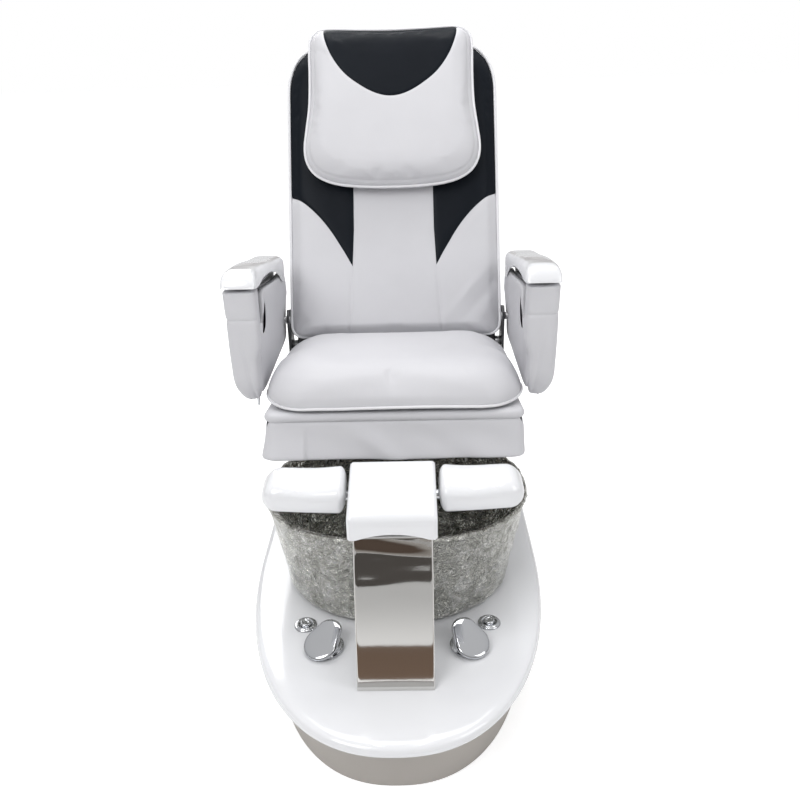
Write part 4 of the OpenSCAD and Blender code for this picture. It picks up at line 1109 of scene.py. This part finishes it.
sweep = [(-0.300, 0.412), (-0.286, 0.402), (-0.262, 0.389), (-0.240, 0.374), (-0.214, 0.350), (-0.190, 0.323),
         (-0.168, 0.293), (-0.150, 0.264), (-0.132, 0.234), (-0.1135, 0.200)]
shoulder = [(v.x, v.y) for v in spline([Vector((*p, 0)) for p in sweep], 6)] + [(-0.1085, 0.30), (-0.1080, 0.40), (-0.1080, 0.90), (-0.300, 0.90)]
local = back_local(coordinates(back))
flat = local[:, [0, 2]]
left_side, right_side = side_of(flat, shoulder), side_of(flat * (-1, 1), shoulder)
panel = np.maximum(left_side, right_side)
front_part = local[:, 1] < -0.0440
marked(back, "black_panel", np.where(front_part, panel, -0.01))
seam_gap = np.abs(np.abs(flat[:, 0]) - (0.1135 + 0.012 * np.clip((0.20 - flat[:, 1]) / 0.18, 0, 1)))
seam_gap = np.where(flat[:, 1] < 0.205, seam_gap, 1.0)
gap = np.minimum(np.abs(panel), seam_gap)
groove = 0.0022 * np.exp(-(gap / 0.0035) ** 2) + 0.0012 * np.exp(-(gap / 0.012) ** 2)
groove = np.where(front_part & (flat[:, 1] > 0.02), groove, 0.0)
bolster = 0.004 * np.exp(-((np.abs(flat[:, 0]) - 0.200) / 0.05) ** 2) * np.clip((0.45 - flat[:, 1]) / 0.2, 0, 1)
pull = np.where(front_part, bolster, 0.0) - groove
slack = 0.0026 * np.exp(-((flat[:, 0] - 0.20) - (flat[:, 1] - 0.13) * 0.85) ** 2 / 0.016 ** 2)
slack *= np.exp(-((flat[:, 0] - 0.20) ** 2 + (flat[:, 1] - 0.13) ** 2) / 0.10 ** 2)
slack -= 0.0028 * np.exp(-((flat[:, 0] - 0.225) - (flat[:, 1] - 0.10) * 0.85) ** 2 / 0.020 ** 2) * np.exp(-((flat[:, 0] - 0.22) ** 2 + (flat[:, 1] - 0.12) ** 2) / 0.10 ** 2)
pull += np.where(front_part, slack, 0.0)
move_to(back, coordinates(back) + normals(back) * pull[:, None])
creased(back, 0.0014, 6.0, 9.4)
back_leather = leather("back_leather", white_low, white_high, 0.36, panel="black_panel")
back.data.materials.append(back_leather)
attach(back, "back")
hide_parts("back_cushion")

back_tree = surface(back)
way = 1 if turning(back_outline) > 0 else -1
edge = [on_back(u, -0.0465, v) for u, v in inset_outline(back_outline, -0.0005 * way)]
edge = evened(edge, 0.007, closed=True)
edge = [edge[i].lerp((edge[i - 1] + edge[(i + 1) % len(edge)]) / 2, 0.5) for i in range(len(edge))]
back_piping = cord_tube("back_piping", edge, 0.0038, closed=True)
back_piping.data.materials.append(piping_painted_highlight_leather)
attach(back_piping, "back")

# ---- Head pillow ----
# A wide stuffed pillow on straps over the top of the back. It is white, piped all round, with a
# blue-black half-round inlay let into its upper edge.
pillow_edge = spline([Vector((x, z, 0)) for x, z in [
    (0.1772, 0.8375), (0.2033, 0.8280), (0.2162, 0.8080), (0.2188, 0.7750), (0.2180, 0.7100), (0.2202, 0.6300), (0.2292, 0.5600),
    (0.2342, 0.5150), (0.2292, 0.4780), (0.2104, 0.4470), (0.1778, 0.4260), (0.1334, 0.4140), (0.0692, 0.4075), (0.0000, 0.4060),
    (-0.0692, 0.4075), (-0.1334, 0.4140), (-0.1778, 0.4260), (-0.2104, 0.4470), (-0.2292, 0.4780), (-0.2342, 0.5150), (-0.2292, 0.5600),
    (-0.2202, 0.6300), (-0.2180, 0.7100), (-0.2188, 0.7750), (-0.2162, 0.8080), (-0.2033, 0.8280), (-0.1772, 0.8375),
    (-0.0912, 0.8350), (0.0000, 0.8330), (0.0912, 0.8350)]], 6, closed=True)
pillow_outline = [(v.x, v.y) for v in evened(pillow_edge, 0.012, closed=True)]
pillow = padded_shape("head_pillow_cover", pillow_outline, [
    (0.020, -0.0745), (0.008, -0.0750), (0.0025, -0.0800), (0.0, -0.0900), (0.0, -0.1020), (0.0010, -0.1100),
    (0.0050, -0.1190), (0.0120, -0.1265), (0.0220, -0.1325), (0.0360, -0.1375), (0.0550, -0.1410), (0.0800, -0.1425),
], on_back)


def pillow_hold(points):
    """The rear lies flat on the back cushion and the piped edge is sewn."""
    y = back_local(points)[:, 1]
    return np.clip((-y - 0.105) / 0.020, 0.0, 1.0)


stuffed(pillow, 0.0055, 4.5, 0.010, pillow_hold)
inlay = [(v.x, v.y) for v in spline([Vector((x, z, 0)) for x, z in [
    (-0.1798, 0.8700), (-0.1787, 0.8357), (-0.1755, 0.8002), (-0.1626, 0.7605), (-0.1412, 0.7229), (-0.1134, 0.6907), (-0.0706, 0.6596),
    (-0.0342, 0.6419), (0.0000, 0.6360), (0.0342, 0.6419), (0.0706, 0.6596), (0.1134, 0.6907), (0.1412, 0.7229), (0.1626, 0.7605),
    (0.1755, 0.8002), (0.1787, 0.8357), (0.1798, 0.8700)]], 6)]
local = back_local(coordinates(pillow))
flat = local[:, [0, 2]]
panel = side_of(flat, inlay)
front_part = local[:, 1] < -0.108
marked(pillow, "black_panel", np.where(front_part, panel, -0.01))
rim_gap = side_of(flat, pillow_outline)
gap = np.abs(panel)
groove = 0.0020 * np.exp(-(gap / 0.0032) ** 2) + 0.0016 * np.exp(-((rim_gap - 0.0125) / 0.003) ** 2)
move_to(pillow, coordinates(pillow) - normals(pillow) * np.where(front_part, groove, 0.0)[:, None])
creased(pillow, 0.0013, 7.0, 14.0)
pillow.data.materials.append(back_leather)
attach(pillow, "pillow")
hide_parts("head_pillow")
way = 1 if turning(pillow_outline) > 0 else -1
edge = [on_back(u, -0.1085, v) for u, v in inset_outline(pillow_outline, -0.0002 * way)]
edge = evened(edge, 0.006, closed=True)
pillow_piping = cord_tube("pillow_piping", edge, 0.0036, closed=True)
pillow_piping.data.materials.append(piping_painted_highlight_leather)
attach(pillow_piping, "pillow")

# ---- Rear shell ----
# Thermoformed grey shell that closes the back cushion's rear, over the massage unit.
shell_grey = hard_finish("shell_plastic", (0.50, 0.50, 0.52), (0.46, 0.46, 0.48), rough=0.40, smudge=0.10, wave=0.25,
                         dusty=0.08)
finished(shell_grey, "rear_shell", width=0.004, angle=50)

# ---- Arms ----
# Each arm is a steel plate with a padded leather outer side and front, and a gloss moulded cap
# over the top. The inner face has a thin pad below an arched opening where the plate shows.

bracket_paint = hard_finish("grey_bracket_paint", (0.115, 0.115, 0.12), (0.085, 0.085, 0.09), rough=0.40, smudge=0.12,
                            wave=0.12, dusty=0.10)


def arm(side_name, side):
    """Builds one arm's pads, seams and cap."""
    shell_low, shell_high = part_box("arm_shell_" + side_name)
    cap_low, cap_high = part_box("arm_cap_" + side_name)
    body = side_name + "_arm"
    inner = shell_low.x if side > 0 else -shell_high.x
    outer = shell_high.x if side > 0 else -shell_low.x
    front, rear = shell_low.y, shell_high.y
    foot = shell_low.z - 0.012
    under = lambda y: cap_low.z + (cap_low_front - (y - front) * math.tan(math.radians(7))) - cap_low.z
    cap_low_front = 0.872

    def put(x, y, z):
        return Vector((side * x, y, z))

    def ordered(rings):
        return [list(reversed(r)) for r in rings] if side < 0 else rings

    # Outer side pad and front pad in one cover: a C of leather round the plate's front
    rings = []
    steps = 34
    for k in range(steps + 1):
        t = k / steps
        z = foot + 0.004 + (under(front) - 0.004 - foot - 0.004) * t
        curve = max(0.0, 1 - (z - foot) / 0.075)
        tuck = 0.024 * curve ** 2.4
        slope = 0.004 * max(0.0, (under(front) - z) / (under(front) - foot))
        out = outer + 0.005 - tuck - slope
        sway = 0.030 * curve ** 2.2
        near = inner - 0.010 * min(1.0, max(0.0, (z - 0.700) / 0.040)) + 0.010 * curve ** 2.4
        f = front + 0.002 + sway
        r = min(rear - 0.010 - 0.050 * curve ** 2, front + 0.40)
        t_out = out - 0.016
        plan = [
            (near + 0.004, f + 0.050), (near + 0.0015, f + 0.034), (near + 0.001, f + 0.010), (near + 0.005, f + 0.003),
            (near + 0.013, f + 0.0003), (near + 0.026, f - 0.0012), (out - 0.020, f - 0.0008), (out - 0.010, f + 0.002),
            (out - 0.003, f + 0.008), (out, f + 0.017), (out + 0.0012, f + 0.060), (out + 0.0024, f + 0.140), (out + 0.0028, (f + r) / 2),
            (out + 0.0020, r - 0.110), (out + 0.0008, r - 0.045), (out - 0.003, r - 0.012), (out - 0.009, r - 0.002), (t_out, r - 0.001),
            (t_out - 0.004, r - 0.006), (t_out - 0.005, r - 0.018), (t_out - 0.0052, r - 0.100), (t_out - 0.0052, (f + r) / 2),
            (t_out - 0.0052, f + 0.120), (t_out - 0.0052, f + 0.060), (t_out - 0.006, f + 0.036), (t_out - 0.010, f + 0.031),
            (near + 0.022, f + 0.034), (near + 0.012, f + 0.046),
        ]
        ring = []
        for x, y in plan:
            zz = z
            limit = under(y) - 0.0035
            zz = foot + 0.004 + (limit - foot - 0.004) * t if t > 0.55 else z - (under(front) - under(y)) * t * 0.55
            ring.append(put(x, y, zz))
        rings.append(ring)
    pad = lofted("arm_pad_" + side_name, ordered(rings))
    fine = pad.modifiers.new("fine", "SUBSURF")
    fine.levels = fine.render_levels = 2
    baked(pad)
    points = coordinates(pad)
    z_seam = 0.7985
    across_seam = np.abs(points[:, 2] - z_seam)
    upright_x = (inner + outer) / 2 + 0.004 - 0.018 * np.clip((z_seam - points[:, 2]) / 0.17, 0, 1.2)
    down_seam = np.where(points[:, 2] < z_seam, np.abs(np.abs(points[:, 0]) - upright_x), 1.0)
    facing_front = normals(pad)[:, 1] < -0.5
    facing_out = normals(pad)[:, 0] * side > 0.5
    gap = np.where(facing_front, np.minimum(across_seam, down_seam), np.where(facing_out, across_seam, 1.0))
    groove = 0.0017 * np.exp(-(gap / 0.0028) ** 2) + 0.0010 * np.exp(-(gap / 0.010) ** 2)
    move_to(pad, points - normals(pad) * groove[:, None])
    creased(pad, 0.0011, 9.0, 20.0 + side)
    pad.data.materials.append(white_leather)
    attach(pad, body)
    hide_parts("arm_shell_" + side_name)

    # Thin inner pad over the plate, with a scalloped upper front corner
    lining = spline([Vector((y, z, 0)) for y, z in [
        (front + 0.026, 0.625), (front + 0.020, 0.700), (front + 0.024, 0.762), (front + 0.044, 0.778), (front + 0.066, 0.774),
        (front + 0.078, 0.790), (front + 0.086, 0.826), (front + 0.110, 0.838), (front + 0.200, 0.826), (front + 0.292, 0.813),
        (front + 0.385, 0.806), (front + 0.428, 0.786), (front + 0.441, 0.740), (front + 0.443, 0.680), (front + 0.441, 0.635),
        (front + 0.415, 0.610), (front + 0.300, 0.607), (front + 0.180, 0.6065), (front + 0.070, 0.6080)]], 5, closed=True)
    lining = [(v.x, v.y) for v in evened(lining, 0.008, closed=True)]
    way = 1 if turning(lining) > 0 else -1
    rings = []
    for inset, x in ((0.003, inner + 0.0057), (0.0004, inner + 0.0056), (0.0, inner + 0.0040), (0.0006, inner + 0.0022),
                     (0.0030, inner + 0.0006), (0.0090, inner - 0.0002), (0.0220, inner - 0.0006)):
        rings.append([put(x - 0.0095 * min(1.0, max(0.0, (z - 0.695) / 0.040)) * (x < inner + 0.005), y, z)
                      for y, z in inset_outline(lining, inset * way)])
    liner = lofted("arm_lining_" + side_name, rings if way * side < 0 else [list(reversed(r)) for r in rings])
    creased(liner, 0.0004, 12.0, 31.0)
    liner.data.materials.append(white_leather)
    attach(liner, body)

    # Strip in the arm frame's dark grey paint behind the arched opening, under the cap: it closes the opening and
    # stands in for the shade under the cap's inner edge, as painted shade
    strip = [(front + 0.052, 0.760), (front + 0.068, 0.760), (front + 0.072, 0.800), (front + 0.380, 0.780)]
    strip += [(y, under(y) + 0.004) for y in (front + 0.380, front + 0.300, front + 0.200, front + 0.100, front + 0.052)]
    way = 1 if turning(strip) > 0 else -1
    layers = [[put(x, y, z) for y, z in strip] for x in (inner + 0.0145, inner + 0.0120)]
    shade_strip = lofted("arm_painted_shade_strip_" + side_name, layers if way * side < 0 else [list(reversed(r)) for r in layers])
    shade_strip.data.materials.append(bracket_paint)
    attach(shade_strip, body)

    # Gloss cap: a rounded bar with a nose at the front, a crest above it and a slope to the rear
    top_line = [(0.000, 0.0260), (0.018, 0.0330), (0.050, 0.0385), (0.095, 0.0400), (0.150, 0.0395), (0.200, 0.0370),
                (0.250, 0.0330), (0.300, 0.0300), (0.345, 0.0285), (0.380, 0.0270)]
    length = cap_high.y - cap_low.y
    c_in, c_out = (cap_low.x, cap_high.x) if side > 0 else (-cap_high.x, -cap_low.x)
    rings = []
    stations = 60
    for k in range(stations + 1):
        u = k / stations
        y = cap_low.y + length * u
        run_in = min(1.0, u * length / 0.034)
        run_out = min(1.0, (1 - u) * length / 0.040)
        lift = math.sqrt(max(0.0, 1 - (1 - run_in) ** 2)) * math.sqrt(max(0.0, 1 - (1 - run_out) ** 2))
        lift = max(lift, 0.12)
        crest = float(np.interp(y - cap_low.y, [p[0] for p in top_line], [p[1] for p in top_line]))
        base = 0.872 - (y - front) * math.tan(math.radians(7)) + 0.0008
        half = (c_out - c_in) / 2 - 0.006 * (1 - lift) ** 2
        mid = (c_in + c_out) / 2
        arch = 0.011 * math.exp(-((y - front - 0.150) / 0.085) ** 4)
        ring = []
        section = [(-1.0, 0.0), (-1.0, 0.20), (-0.992, 0.42), (-0.955, 0.62), (-0.88, 0.79), (-0.76, 0.91), (-0.58, 0.975),
                   (-0.35, 0.995), (0.0, 1.0), (0.35, 0.998), (0.60, 0.985), (0.78, 0.93), (0.90, 0.82), (0.965, 0.66),
                   (0.995, 0.45), (1.0, 0.22), (1.0, 0.02), (0.985, -0.01), (0.80, -0.01), (0.0, 0.01), (-0.80, -0.01), (-0.985, -0.01)]
        for sx, sz in section:
            z = base + crest * lift * max(0.0, sz)
            skirt = 0.040 * min(1.0, max(0.0, (y - front - 0.255) / 0.10)) ** 1.6 * min(1.0, (1 - u) * length / 0.02)
            if sx < -0.9 and sz < 0.3:
                z += (arch - skirt) * (1 - sz / 0.3) if sz >= 0 else arch - skirt
            ring.append(put(mid + half * sx, y, z))
        rings.append(ring)
    cap = lofted("arm_cap_" + side_name + "_moulding", ordered(rings))
    crease = cap.modifiers.new("soft_edges", "BEVEL")
    crease.width = 0.0016
    crease.segments = 2
    crease.limit_method = "ANGLE"
    crease.angle_limit = math.radians(55)
    fine = cap.modifiers.new("fine", "SUBSURF")
    fine.levels = fine.render_levels = 1
    baked(cap)
    cap.data.materials.append(gelcoat)
    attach(cap, body)
    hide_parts("arm_cap_" + side_name)


arm("left", -1)
arm("right", 1)

dark_plastic = hard_finish("moulded_black", (0.032, 0.032, 0.036), (0.024, 0.024, 0.027), rough=0.42, smudge=0.12,
                           wave=0.3, dusty=0.15)
finished(bracket_paint, "arm_frame_left", "arm_frame_right")
finished(chrome, "arm_latch")

# ---- Seat frame, slide and recline gear ----
# Square steel tube frames under a birch plywood pan run on zinc-plated rails. A linear actuator
# with a forked push rod turns the back's torque tube on its pivot pins.
finished(frame_paint, "seat_frame_left", "seat_frame_right", "back_frame_left", "back_frame_right", "back_torque_tube",
         "hinge_bracket_left", "hinge_bracket_right")
finished(bright_steel, "slide_rails", "channel_left", "channel_right", "pivot_pins", "actuator_rod")
finished(dark_plastic, "actuator_body", "massage_carriage")

plywood, tree, shader = new_material("birch_plywood")
where = object_vector(tree)
layers = add(tree, "ShaderNodeTexWave", {"Vector": where, "Scale": 55.0, "Distortion": 1.5, "Detail": 2.0},
             bands_direction="Z").outputs["Fac"]
veins = add(tree, "ShaderNodeTexWave", {"Vector": where, "Scale": 6.0, "Distortion": 9.0, "Detail": 4.0},
            bands_direction="X").outputs["Fac"]
wood = tinted(tree, veins, (0.56, 0.40, 0.24), (0.47, 0.31, 0.17))
tree.links.new(tinted(tree, math_node(tree, "MULTIPLY", layers, 0.35), wood, (0.27, 0.17, 0.09)), shader.inputs["Base Color"])
tree.links.new(math_node(tree, "MULTIPLY_ADD", veins, 0.15, 0.5), shader.inputs["Roughness"])
bumped(tree, shader, veins, 0.15, 0.0006)
pan_low, pan_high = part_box("seat_pan")
board = []
for k in range(96):
    a = 2 * math.pi * k / 96
    board.append((pan_high.x * 0.965 * signed_power(math.cos(a), 0.16), 0.210 + 0.184 * signed_power(math.sin(a), 0.16)))
pan = lofted("seat_pan_board", [[on_seat(x * s, 0.210 + (y - 0.210) * s, z) for x, y in board]
                                for s, z in ((0.996, -0.0124), (1.0, -0.0118), (1.0, -0.0012), (0.996, -0.0008))])
pan.data.materials.append(plywood)
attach(pan, "carriage")
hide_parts("seat_pan")

# ---- Massage unit ----
# Two guide rods and a screw carry a moulded carriage with kneading rollers on a shaft.
finished(bright_steel, "massage_rails")
rubber = hard_finish("black_rubber", (0.028, 0.028, 0.029), (0.020, 0.020, 0.021), rough=0.62, smudge=0.10, wave=0.5,
                     dusty=0.22)
finished(rubber, "massage_rollers", "levelling_feet")

# ---- Pedestal, floor frame and plumbing ----
# A white moulded pedestal behind the bowl hides the valves, hoses and pump and carries the seat
# rails on a steel plate. Its rear panel lifts off for service; the frame stands on levelling feet.
finished(gelcoat, "pedestal_moulding", width=0.003, angle=50)
finished(satin_skirt, "access_panel", width=0.0012)
finished(frame_paint, "pedestal_plate", "sill_left", "sill_right", "sill_cross_front", "sill_cross_rear", "deck_posts")
finished(chrome, "waste_strainer", "jet_fitting", "rear_stubs")
finished(dark_plastic, "drain_pump", "pipework")
brass = hard_finish("cast_brass", (0.55, 0.40, 0.19), (0.42, 0.30, 0.13), metal=1.0, rough=0.28, smudge=0.2, wave=0.2,
                    dusty=0.12)
finished(brass, "valve_bodies")
